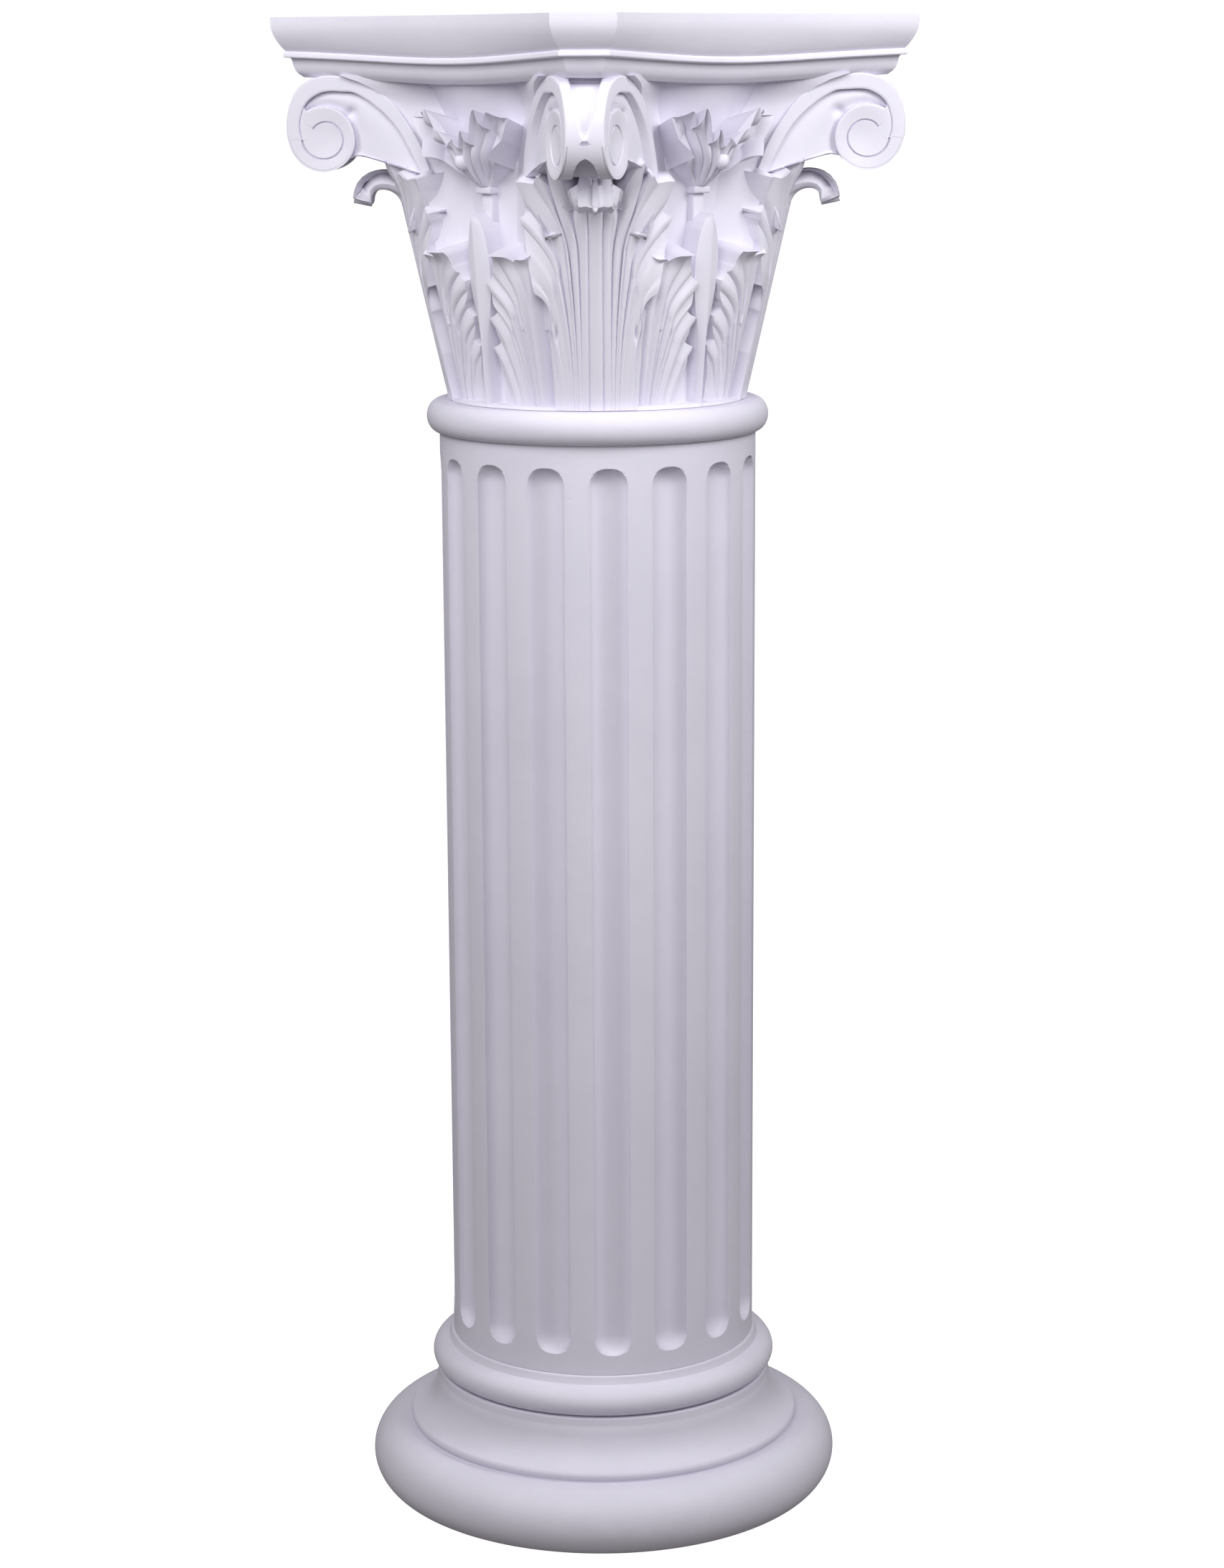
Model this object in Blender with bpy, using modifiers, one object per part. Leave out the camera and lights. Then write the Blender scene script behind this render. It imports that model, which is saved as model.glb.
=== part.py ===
"""Cast Corinthian column: a round base, a fluted shaft with its neck ring, and a leafed capital.

Metres, +Z up, origin at the middle of the underside. The abacus is square to X and Y,
so its cut corners, the scroll pairs and the four tall leaves lie on the diagonals.
"""
import math
import bmesh
import bpy

# Joints between the three castings
JOINT_GAP = 0.0003

# Base: two round mouldings with a hollow between them
BASE_HEIGHT = 0.1100
LOWER_ROUND_HEIGHT = 0.0424
LOWER_ROUND_REACH = 0.1604
LOWER_ROUND_BULGE = 0.0226
HOLLOW_LIP_RADIUS = 0.1338
HOLLOW_LIP_HEIGHT = 0.0510
HOLLOW_NECK_RADIUS = 0.1150
HOLLOW_NECK_HEIGHT = 0.0790
UPPER_ROUND_FOOT = 0.0838
UPPER_ROUND_TOP = 0.1041
UPPER_ROUND_REACH = 0.1181
UPPER_ROUND_BULGE = 0.0106
SEAT_BEAD_RADIUS = 0.1065
BASE_STEPS = 36

# Shaft: a plain drum with sixteen flutes and a half round neck ring
SHAFT_LENGTH = 0.6432
SHAFT_FOOT_RADIUS = 0.1037
SHAFT_TOP_RADIUS = 0.1045
RING_HEIGHT = 0.0210
RING_REACH = 0.1128
SHAFT_STEPS = 48
FLUTE_COUNT = 16
FLUTE_STEPS = 10
FLUTE_RADIUS = 0.0125
FLUTE_DEPTH = 0.0100
FLUTE_FOOT_MARGIN = 0.0134
FLUTE_HEAD_MARGIN = 0.0145
FLUTE_TURN = math.radians(5.65)

# Capital: heights are above the capital's own foot
CAPITAL_HEIGHT = 0.2462
FOOT_RADIUS = 0.0972
FOOT_FLANGE = 0.0030
LEAF_START = 0.0015
BELL_RADIUS = 0.0880
BELL_LIP_RADIUS = 0.1135
BELL_LIP_HEIGHT = 0.1960
BELL_FLARE_START = 0.1000
BELL_STEPS = 28
KEPT_SHARE = 0.74

# Abacus: four hollow sides between cut corners
ABACUS_HEIGHT = 0.0375
ABACUS_REACH = 0.2085
CORNER_HALF_WIDTH = 0.0201
SIDE_HOLLOW = 0.0247
SIDE_SAG = 0.0045
SIDE_STEPS = 5
OVOLO_SETBACK = 0.0083
FILLET_HEIGHT = 0.0033
CAVETTO_SETBACK = 0.0125
ABACUS_FOOT_SETBACK = 0.0173

# Scroll pairs under the corners
SCROLL_CENTRE_REACH = 0.1763
SCROLL_CENTRE_HEIGHT = 0.1685
SCROLL_RADIUS = 0.0208
SCROLL_RISE = 0.0177
SCROLL_BAND = 0.0080
SCROLL_TIP_REACH = 0.2000
SCROLL_TIP_HALF_WIDTH = 0.0119
SCROLL_FLARE = 0.42
SCROLL_FLARE_EASE = 0.60
SCROLL_DISC_FLARE = 0.27
EYE_RADIUS = 0.0112
DISC_RADIUS = 0.0152
DISC_SETBACK = 0.0028
WEB_SETBACK = 0.0060
WEB_STATIONS = [
    (0.0830, 0.0960),
    (0.1000, 0.1000),
    (0.1120, 0.1080),
    (0.1260, 0.1330),
    (0.1420, 0.1480),
    (0.1600, 0.1580),
    (0.1763, 0.1620),
]
STEM_FOOT_REACH = 0.0930
STEM_FOOT_HEIGHT = 0.0960
NOTCH_TOP_HEIGHT = 0.1600
NOTCH_HALF_WIDTH = 0.0095

# Tall leaves below the corners, and how late every leaf's lobes turn out
LEAF_TURN_OUT = 1.4
TALL_FOOT_RADIUS = 0.0982
LEAF_LEAN = 0.228
TALL_STRAIGHT = 0.1294
TALL_CURL_RADIUS = 0.0221
TALL_THICKNESS = 0.0090
TALL_EDGE_DROP = 0.0085
LEAF_CORE_HEIGHT = 0.1270
LEAF_CORE_SETBACK = 0.0065
LEAF_CORE_HALF_WIDTH = 0.0220

# Low leaves, two to a side, and the slim leaf between them
LOW_FOOT_RADIUS = 0.0946
LOW_LEAF_TURN = math.radians(22.5)
LOW_STRAIGHT = 0.0910
LOW_CURL_RADIUS = 0.0100
LOW_EDGE_DROP = 0.0050
SLIM_FOOT_RADIUS = 0.0945
SLIM_LENGTH = 0.1225
SLIM_LEAN = 0.094
SLIM_HALF_WIDTH = 0.0065
SLIM_RIDGE = 0.0025

# Sheath of leaves in the middle of each side, on its small collar
SHEATH_FOOT_HEIGHT = 0.1390
SHEATH_FOOT_RADIUS = 0.0965
SHEATH_REACH = 0.1180
SHEATH_TIP_REACH = 0.1400
SHEATH_HALF_WIDTH = 0.0488
SHEATH_BACK_RADIUS = 0.0860
COLLAR_HALF_WIDTH = 0.0070
COLLAR_HEIGHT = 0.0040
COLLAR_REACH = 0.0985
COLLAR_STEM_LENGTH = 0.0200

QUARTER = math.pi / 2
CORNER_TURNS = [QUARTER * i + QUARTER / 2 for i in range(4)]
SIDE_TURNS = [QUARTER * i for i in range(4)]

# A leaf is a fan of lines from its foot to its lobes and the notches between them. Each line has
# its offset from the middle at the foot, at seven tenths and at the end, its length and its depth.
TALL_LINES = [
    (0.0000, 0.0000, 0.0000, 0.1795, 0.0000),
    (0.0064, 0.0048, 0.0046, 0.1765, 0.0015),
    (0.0090, 0.0080, 0.0122, 0.1782, 0.0000),
    (0.0108, 0.0104, 0.0154, 0.1600, 0.0022),
    (0.0124, 0.0135, 0.0270, 0.1548, 0.0000),
    (0.0140, 0.0172, 0.0242, 0.1308, 0.0030),
    (0.0158, 0.0224, 0.0484, 0.1430, 0.0000),
    (0.0175, 0.0256, 0.0402, 0.1263, 0.0028),
    (0.0192, 0.0284, 0.0508, 0.1178, 0.0000),
    (0.0228, 0.0272, 0.0385, 0.0745, 0.0000),
    (0.0270, 0.0287, 0.0315, 0.0660, 0.0020),
]
LOW_LINES = [
    (-0.0190, -0.0190, -0.0150, 0.0960, 0.0000),
    (-0.0100, -0.0090, -0.0065, 0.0995, 0.0014),
    (-0.0040, -0.0025, -0.0010, 0.1005, 0.0000),
    (0.0000, 0.0015, 0.0060, 0.0960, 0.0020),
    (0.0030, 0.0062, 0.0205, 0.1052, 0.0000),
    (0.0055, 0.0100, 0.0268, 0.0856, 0.0026),
    (0.0080, 0.0145, 0.0330, 0.0808, 0.0000),
    (0.0108, 0.0165, 0.0258, 0.0622, 0.0025),
    (0.0136, 0.0208, 0.0334, 0.0577, 0.0000),
    (0.0165, 0.0210, 0.0264, 0.0415, 0.0022),
    (0.0195, 0.0242, 0.0328, 0.0382, 0.0000),
    (0.0262, 0.0262, 0.0267, 0.0160, 0.0010),
]
SHEATH_LINES = [
    (0.0000, 0.0000, 0.0000, 0.0375, 0.0020),
    (0.0018, 0.0040, 0.0060, 0.0350, 0.0036),
    (0.0030, 0.0120, 0.0204, 0.0492, 0.0000),
    (0.0040, 0.0175, 0.0284, 0.0427, 0.0036),
    (0.0052, 0.0240, 0.0362, 0.0475, 0.0000),
    (0.0062, 0.0290, 0.0414, 0.0398, 0.0036),
    (0.0074, 0.0345, 0.0488, 0.0417, 0.0000),
    (0.0082, 0.0285, 0.0330, 0.0230, 0.0010),
]


def clear_scene():
    for obj in list(bpy.data.objects):
        bpy.data.objects.remove(obj, do_unlink=True)


def new_collection(name):
    collection = bpy.data.collections.new(name)
    bpy.context.scene.collection.children.link(collection)
    return collection


def plaster(name, colour, roughness):
    material = bpy.data.materials.new(name)
    material.use_nodes = True
    shader = material.node_tree.nodes["Principled BSDF"]
    shader.inputs["Base Color"].default_value = (*colour, 1.0)
    shader.inputs["Roughness"].default_value = roughness
    shader.inputs["Metallic"].default_value = 0.0
    return material


def mesh_object(name, bm, collection, material=None):
    mesh = bpy.data.meshes.new(name)
    bm.to_mesh(mesh)
    bm.free()
    if material is not None:
        mesh.materials.append(material)
    obj = bpy.data.objects.new(name, mesh)
    collection.objects.link(obj)
    return obj


def mark_as_tool(obj):
    obj.hide_render = True
    obj.display_type = 'WIRE'


def turned(name, profile, steps, collection, material):
    """A solid of revolution. The profile runs from the top of the axis, down the outside, to its foot."""
    bm = bmesh.new()
    verts = [bm.verts.new((r, 0.0, z)) for r, z in profile]
    for upper, lower in zip(verts, verts[1:]):
        bm.edges.new((upper, lower))
    obj = mesh_object(name, bm, collection, material)
    screw = obj.modifiers.new("turn", 'SCREW')
    screw.steps = steps
    screw.render_steps = steps
    screw.use_merge_vertices = True
    screw.merge_threshold = 0.00001
    return obj


def loft(name, rings, collection):
    """A closed solid through rings of equally many points, with a face on the first and the last ring."""
    bm = bmesh.new()
    rows = [[bm.verts.new(point) for point in ring] for ring in rings]
    count = len(rows[0])
    for row, following in zip(rows, rows[1:]):
        for i in range(count):
            j = (i + 1) % count
            bm.faces.new((row[i], row[j], following[j], following[i]))
    bm.faces.new(rows[0])
    bm.faces.new(rows[-1])
    bmesh.ops.triangulate(bm, faces=bm.faces[:])
    bmesh.ops.recalc_face_normals(bm, faces=bm.faces[:])
    obj = mesh_object(name, bm, collection)
    mark_as_tool(obj)
    return obj


def quarter_round(centre_r, centre_z, bulge, half_height, start, end, steps):
    """Points of a round moulding from the angle start to the angle end, in degrees above level."""
    points = []
    for i in range(steps + 1):
        angle = math.radians(start + (end - start) * i / steps)
        points.append((centre_r + bulge * math.cos(angle), centre_z + half_height * math.sin(angle)))
    return points


def polar(reach, angle, height):
    return (reach * math.cos(angle), reach * math.sin(angle), height)


def turned_frame(turn, reach, side, height):
    """The point that lies reach out along the direction turn, and side to its left."""
    c, s = math.cos(turn), math.sin(turn)
    return (reach * c - side * s, reach * s + side * c, height)


def make_base(parts):
    half_upper = (UPPER_ROUND_TOP - UPPER_ROUND_FOOT) / 2
    upper_centre = UPPER_ROUND_REACH - UPPER_ROUND_BULGE
    lower_centre = LOWER_ROUND_REACH - LOWER_ROUND_BULGE
    half_lower = LOWER_ROUND_HEIGHT / 2
    bead = (BASE_HEIGHT - UPPER_ROUND_TOP) / 2
    profile = [(0.0, BASE_HEIGHT), (SEAT_BEAD_RADIUS - bead / 2, BASE_HEIGHT)]
    profile += [(SEAT_BEAD_RADIUS, UPPER_ROUND_TOP)]
    profile += quarter_round(upper_centre, UPPER_ROUND_FOOT + half_upper, UPPER_ROUND_BULGE, half_upper,
                             66, -66, 4)
    profile += [(HOLLOW_NECK_RADIUS, UPPER_ROUND_FOOT), (HOLLOW_NECK_RADIUS, HOLLOW_NECK_HEIGHT)]
    for i in range(1, 3):
        share = i / 3
        drop = (HOLLOW_NECK_HEIGHT - HOLLOW_LIP_HEIGHT) * math.sin(share * QUARTER)
        flare = (HOLLOW_LIP_RADIUS - HOLLOW_NECK_RADIUS) * (1 - math.cos(share * QUARTER))
        profile.append((HOLLOW_NECK_RADIUS + flare, HOLLOW_NECK_HEIGHT - drop))
    profile += [(HOLLOW_LIP_RADIUS, HOLLOW_LIP_HEIGHT), (HOLLOW_LIP_RADIUS, LOWER_ROUND_HEIGHT)]
    profile += quarter_round(lower_centre, half_lower, LOWER_ROUND_BULGE, half_lower, 70, -90, 5)
    profile += [(0.0, 0.0)]
    return turned("base", profile, BASE_STEPS, parts, plaster("base_plaster", (0.76, 0.75, 0.80), 0.62))


def make_flute_cutters(cutters, foot, head):
    """Upright rods with round ends, standing partly inside the shaft."""
    axis_radius = (SHAFT_FOOT_RADIUS + SHAFT_TOP_RADIUS) / 2 - FLUTE_DEPTH + FLUTE_RADIUS
    lower = foot + FLUTE_FOOT_MARGIN + FLUTE_RADIUS
    upper = head - FLUTE_HEAD_MARGIN - FLUTE_RADIUS
    profile = [(0.0, upper + FLUTE_RADIUS)]
    profile += quarter_round(0.0, upper, FLUTE_RADIUS, FLUTE_RADIUS, 60, 0, 2)
    profile += quarter_round(0.0, lower, FLUTE_RADIUS, FLUTE_RADIUS, 0, -60, 2)
    profile += [(0.0, lower - FLUTE_RADIUS)]
    for i in range(FLUTE_COUNT):
        angle = CORNER_TURNS[3] + FLUTE_TURN + i * 2 * math.pi / FLUTE_COUNT
        cutter = turned(f"flute_{i + 1:02d}", profile, FLUTE_STEPS, cutters, None)
        cutter.location = polar(axis_radius, angle, 0.0)
        cutter.rotation_euler = (0.0, 0.0, angle)
        mark_as_tool(cutter)


def make_shaft(parts, foot):
    head = foot + SHAFT_LENGTH
    ring_foot = head - RING_HEIGHT
    profile = [(0.0, head), (SHAFT_TOP_RADIUS - RING_HEIGHT / 8, head)]
    profile += quarter_round(SHAFT_TOP_RADIUS, head - RING_HEIGHT / 2, RING_REACH - SHAFT_TOP_RADIUS,
                             RING_HEIGHT / 2, 72, -72, 4)
    profile += [(SHAFT_TOP_RADIUS, ring_foot), (SHAFT_FOOT_RADIUS, foot), (0.0, foot)]
    shaft = turned("shaft", profile, SHAFT_STEPS, parts, plaster("shaft_plaster", (0.77, 0.76, 0.81), 0.62))
    cutters = new_collection("flute_cutters")
    make_flute_cutters(cutters, foot, ring_foot)
    cut = shaft.modifiers.new("flutes", 'BOOLEAN')
    cut.operation = 'DIFFERENCE'
    cut.operand_type = 'COLLECTION'
    cut.collection = cutters
    cut.solver = 'EXACT'
    return head


def bell_radius(height):
    """Radius of the plain bell behind the leaves."""
    share = max(0.0, (height - BELL_FLARE_START) / (BELL_LIP_HEIGHT - BELL_FLARE_START))
    return BELL_RADIUS + (BELL_LIP_RADIUS - BELL_RADIUS) * share ** 2.4


def abacus_outline(setback):
    """Outline of the abacus, set back from its top edge, with each point's share of the sag."""
    to_corner = ABACUS_REACH * math.cos(QUARTER / 2) + CORNER_HALF_WIDTH * math.sin(QUARTER / 2)
    half_side = ABACUS_REACH * math.sin(QUARTER / 2) - CORNER_HALF_WIDTH * math.cos(QUARTER / 2)
    radius = (half_side ** 2 + SIDE_HOLLOW ** 2) / (2 * SIDE_HOLLOW)
    centre = to_corner - SIDE_HOLLOW + radius
    edge = radius + setback
    corner_reach = ABACUS_REACH - setback
    # Where the side's circle meets the line of the cut corner
    along = corner_reach * math.sqrt(2)
    middle = (centre + along) / 2
    out = middle - math.sqrt(middle ** 2 - (centre ** 2 + along ** 2 - edge ** 2) / 2)
    end = math.asin((along - out) / edge)
    points = []
    for turn in SIDE_TURNS:
        for i in range(SIDE_STEPS + 1):
            share = 2 * i / SIDE_STEPS - 1
            angle = end * share
            reach = centre - edge * math.cos(angle)
            side = edge * math.sin(angle)
            points.append((turned_frame(turn, reach, side, 0.0), 1 - share ** 2))
    return points


def make_abacus(carving, foot):
    top = foot + CAPITAL_HEIGHT
    under = top - ABACUS_HEIGHT
    fillet_foot = under + ABACUS_HEIGHT * 0.32
    fillet_head = fillet_foot + FILLET_HEIGHT
    ovolo = top - fillet_head
    levels = [
        (0.0, top, 0.0),
        (0.0004, top - ovolo * 0.35, 0.0),
        (OVOLO_SETBACK * 0.45, top - ovolo * 0.78, 0.7),
        (OVOLO_SETBACK, fillet_head, 1.0),
        (OVOLO_SETBACK, fillet_foot, 1.0),
        (CAVETTO_SETBACK, fillet_foot - 0.0008, 1.0),
        (ABACUS_FOOT_SETBACK, under, 1.0),
    ]
    rings = []
    for setback, height, sag in levels:
        ring = [(x, y, height - SIDE_SAG * sag * share) for (x, y, _), share in abacus_outline(setback)]
        rings.append(ring)
    return loft("abacus_body", rings, carving)


def leaf_place(length, side, drop, foot_radius, lean, straight, curl_radius, start):
    """A point on a leaf: length along its middle line, side across it, drop behind its face."""
    tilt = math.atan(lean)
    if length <= straight:
        angle = tilt
        reach = foot_radius + length * math.sin(tilt)
        height = start + length * math.cos(tilt)
    else:
        angle = tilt + (length - straight) / curl_radius
        reach = foot_radius + straight * math.sin(tilt) + curl_radius * (math.cos(tilt) - math.cos(angle))
        height = start + straight * math.cos(tilt) + curl_radius * (math.sin(angle) - math.sin(tilt))
    turn = side / reach
    return reach - drop * math.cos(angle), turn, height + drop * math.sin(angle)


def mirrored(lines):
    """The lines of both halves, from one margin to the other."""
    left = [(-foot, -waist, -end, length, depth) for foot, waist, end, length, depth in reversed(lines[1:])]
    return left + lines


def line_offset(foot, waist, end, share, early):
    """Offset from the leaf's middle at a share of the line's length."""
    if share <= 0.7:
        return foot + (waist - foot) * (share / 0.7) ** early
    return waist + (end - waist) * ((share - 0.7) / 0.3) ** LEAF_TURN_OUT


def fan_leaf(name, carving, turn, lines, face, back, fronts, backs, early):
    """A leaf as a loft from margin to margin through its fan of lines."""
    rings = []
    for foot, waist, end, length, depth in lines:
        ring = []
        for share in fronts:
            side = line_offset(foot, waist, end, share, early)
            reach, aside, height = face(length * share, side, depth * min(1.0, 2 * share))
            ring.append(polar(reach, turn + aside, height))
        for share in backs:
            side = line_offset(foot, waist, end, share, early)
            reach, aside, height = back(length * share, side)
            ring.append(polar(reach, turn + aside, height))
        rings.append(ring)
    return loft(name, rings, carving)


def tall_half_width(length):
    """Half the leaf's general width, which its cross curve follows."""
    rise = min(1.0, length / 0.12)
    narrow = max(0.0, (length - 0.1380) / (0.1795 - 0.1380))
    return (0.027 + 0.023 * rise ** 1.5) * (1 - narrow) + 0.016 * narrow


def make_tall_leaf(carving, turn, number, start):
    def face(length, side, depth):
        edge = min(1.0, abs(side) / tall_half_width(length))
        drop = TALL_EDGE_DROP * edge ** 2.2 * (0.35 + 0.65 * min(1.0, length / 0.04)) + depth
        return leaf_place(length, side, drop, TALL_FOOT_RADIUS, LEAF_LEAN, TALL_STRAIGHT,
                          TALL_CURL_RADIUS, start)

    def back(length, side):
        reach, aside, height = face(length, side, TALL_THICKNESS)
        return reach, aside, height if length > 0 else start

    return fan_leaf(f"tall_leaf_{number}", carving, turn, mirrored(TALL_LINES), face, back,
                    [0.0, 0.45, 0.7, 0.86, 1.0], [1.0, 0.86, 0.7, 0.0], 1.7)


def make_low_leaf(carving, turn, number, start, outward):
    """A low leaf. Its lobes are on the side that outward points to, +1 or -1."""
    def face(length, side, depth):
        edge = min(1.0, abs(side) / (0.027 + 0.005 * min(1.0, length / 0.03)))
        drop = LOW_EDGE_DROP * edge ** 2.5 + depth
        reach, aside, height = leaf_place(length, side, drop, LOW_FOOT_RADIUS, LEAF_LEAN, LOW_STRAIGHT,
                                          LOW_CURL_RADIUS, start)
        return reach, outward * aside, height

    def back(length, side):
        _, aside, height = face(length, side, 0.0)
        return BELL_RADIUS - 0.002, aside, height - 0.002 if length > 0 else height

    return fan_leaf(f"low_leaf_{number}", carving, turn, LOW_LINES, face, back,
                    [0.0, 0.7, 0.9, 1.0], [1.0, 0.0], 1.4)


def make_slim_leaf(carving, turn, number, start):
    rings = []
    for across in (-1, 0, 1):
        ring = []
        for share in (0.0, 0.5, 0.8, 0.93, 1.0):
            width = SLIM_HALF_WIDTH * (1 - 0.85 * share ** 4)
            length = SLIM_LENGTH * share - (0.003 * share if across else 0.0)
            reach = SLIM_FOOT_RADIUS + SLIM_LEAN * length + (0.0 if across else SLIM_RIDGE)
            ring.append(turned_frame(turn, reach, across * width, start + length))
        inner = BELL_RADIUS - 0.004
        ring.append(turned_frame(turn, inner, across * SLIM_HALF_WIDTH * 0.2, start + SLIM_LENGTH))
        ring.append(turned_frame(turn, inner, across * SLIM_HALF_WIDTH, start))
        rings.append(ring)
    return loft(f"slim_leaf_{number}", rings, carving)


def make_sheath(carving, turn, number, foot):
    start = foot + SHEATH_FOOT_HEIGHT

    def face(length, side, depth):
        rise = math.sin(QUARTER * min(1.0, length / 0.030))
        full = SHEATH_REACH + (SHEATH_TIP_REACH - SHEATH_REACH) * (side / SHEATH_HALF_WIDTH) ** 2
        reach = SHEATH_FOOT_RADIUS + (full - SHEATH_FOOT_RADIUS) * rise ** 0.8
        return reach - depth, side / SHEATH_TIP_REACH, start + length

    def back(length, side):
        return SHEATH_BACK_RADIUS, side / SHEATH_TIP_REACH, start + length

    return fan_leaf(f"sheath_{number}", carving, turn, mirrored(SHEATH_LINES), face, back,
                    [0.0, 0.35, 0.7, 1.0], [1.0, 0.0], 0.8)


def make_block(name, carving, turn, inner, outer, half_width, low, high):
    rings = []
    for height in (low, high):
        rings.append([
            turned_frame(turn, inner, -half_width, height),
            turned_frame(turn, outer, -half_width, height),
            turned_frame(turn, outer, half_width, height),
            turned_frame(turn, inner, half_width, height),
        ])
    return loft(name, rings, carving)


def make_collar(carving, turn, number, foot):
    top = foot + SHEATH_FOOT_HEIGHT
    inner = BELL_RADIUS - 0.004
    make_block(f"collar_{number}", carving, turn, inner, COLLAR_REACH, COLLAR_HALF_WIDTH,
               top - COLLAR_HEIGHT, top + COLLAR_HEIGHT / 2)
    make_block(f"collar_stem_{number}", carving, turn, inner, COLLAR_REACH - 0.003, COLLAR_HALF_WIDTH * 0.7,
               top - COLLAR_STEM_LENGTH, top - COLLAR_HEIGHT / 2)


def scroll_half_width(reach):
    """Half the width across a scroll pair at a distance from the column's axis."""
    inward = SCROLL_TIP_REACH - reach
    return SCROLL_TIP_HALF_WIDTH + SCROLL_FLARE * inward - SCROLL_FLARE_EASE * inward ** 2


def disc_half_width(reach):
    return SCROLL_TIP_HALF_WIDTH + SCROLL_DISC_FLARE * (SCROLL_TIP_REACH - reach)


def scroll_radius(angle):
    """Outer radius of the scroll, from the rim at the top, round the front, to the inner turn."""
    rise = max(0.0, (math.degrees(angle) + 90) / 180)
    return SCROLL_RADIUS + SCROLL_RISE * rise ** 2.6


def scroll_path():
    """Stations of the scroll's band as (outer reach, outer height, inner reach, inner height, tuck)."""
    stations = []
    top_reach = SCROLL_CENTRE_REACH - 0.018
    top_height = SCROLL_CENTRE_HEIGHT + SCROLL_RADIUS + SCROLL_RISE - 0.004
    for i in range(5):
        share = i / 5
        bow = math.sin(share * QUARTER)
        reach = STEM_FOOT_REACH + (top_reach - STEM_FOOT_REACH) * (1 - math.cos(share * QUARTER)) ** 0.92
        height = STEM_FOOT_HEIGHT + (top_height - STEM_FOOT_HEIGHT) * bow
        slope = share * QUARTER
        inner_reach = reach + SCROLL_BAND * math.cos(slope)
        inner_height = height - SCROLL_BAND * math.sin(slope)
        stations.append((reach, height, inner_reach, inner_height, 0.0))
    for i in range(12):
        angle = math.radians(110 - 30 * i)
        outer = scroll_radius(min(angle, QUARTER))
        inner = outer - SCROLL_BAND
        tuck = min(1.0, max(0.0, (math.radians(60) - angle) / math.radians(150)))
        stations.append((
            SCROLL_CENTRE_REACH + outer * math.cos(angle),
            SCROLL_CENTRE_HEIGHT + outer * math.sin(angle),
            SCROLL_CENTRE_REACH + inner * math.cos(angle),
            SCROLL_CENTRE_HEIGHT + inner * math.sin(angle),
            tuck,
        ))
    return stations


def make_scroll_band(carving, turn, number, foot):
    rings = []
    for outer_reach, outer_height, inner_reach, inner_height, tuck in scroll_path():
        def half(reach):
            return scroll_half_width(reach) * (1 - tuck) + disc_half_width(reach) * tuck
        wide, slim = half(outer_reach), half(inner_reach)
        rings.append([
            turned_frame(turn, outer_reach, -wide, foot + outer_height),
            turned_frame(turn, outer_reach, wide, foot + outer_height),
            turned_frame(turn, inner_reach, slim, foot + inner_height),
            turned_frame(turn, inner_reach, -slim, foot + inner_height),
        ])
    return loft(f"scroll_band_{number}", rings, carving)


def make_scroll_boss(name, carving, turn, radius, setback, foot, steps):
    """A round boss through the scroll pair, its two faces following the scroll's flare."""
    rings = []
    for side in (-1, 1):
        ring = []
        for i in range(steps):
            angle = 2 * math.pi * i / steps
            reach = SCROLL_CENTRE_REACH + radius * math.cos(angle)
            half = disc_half_width(reach) - setback
            height = foot + SCROLL_CENTRE_HEIGHT + radius * math.sin(angle)
            ring.append(turned_frame(turn, reach, side * half, height))
        rings.append(ring)
    return loft(name, rings, carving)


def make_web(carving, turn, number, foot):
    """The mass between a corner's two scrolls, from the bell out to the discs."""
    top = CAPITAL_HEIGHT - ABACUS_HEIGHT + 0.002
    rings = []
    for reach, low in WEB_STATIONS:
        half = disc_half_width(reach) if reach > 0.15 else scroll_half_width(reach)
        half -= WEB_SETBACK
        rings.append([
            turned_frame(turn, reach, -half, foot + low),
            turned_frame(turn, reach, half, foot + low),
            turned_frame(turn, reach, half, foot + top),
            turned_frame(turn, reach, -half, foot + top),
        ])
    return loft(f"web_{number}", rings, carving)


def make_leaf_core(carving, turn, number, foot):
    """The solid mass behind a tall leaf, so that the leaf stands on the bell."""
    rings = []
    for height in (LEAF_START + 0.001, LEAF_CORE_HEIGHT):
        face = TALL_FOOT_RADIUS + LEAF_LEAN * height - LEAF_CORE_SETBACK
        rings.append([
            turned_frame(turn, BELL_RADIUS - 0.006, -LEAF_CORE_HALF_WIDTH, foot + height),
            turned_frame(turn, face, -LEAF_CORE_HALF_WIDTH, foot + height),
            turned_frame(turn, face, LEAF_CORE_HALF_WIDTH, foot + height),
            turned_frame(turn, BELL_RADIUS - 0.006, LEAF_CORE_HALF_WIDTH, foot + height),
        ])
    return loft(f"leaf_core_{number}", rings, carving)


def make_notch_cutter(cutters, turn, number, foot):
    """The arched gap between a pair of scrolls, at the bottom of their front."""
    rings = []
    for drop, half in ((0.0, 0.0035), (0.006, 0.0050), (0.016, NOTCH_HALF_WIDTH)):
        height = NOTCH_TOP_HEIGHT - drop
        inner = SCROLL_CENTRE_REACH + 0.004
        rings.append([
            turned_frame(turn, inner, -half, foot + height),
            turned_frame(turn, ABACUS_REACH, -half, foot + height),
            turned_frame(turn, ABACUS_REACH, half, foot + height),
            turned_frame(turn, inner, half, foot + height),
        ])
    return loft(f"scroll_notch_{number}", rings, cutters)


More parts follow.
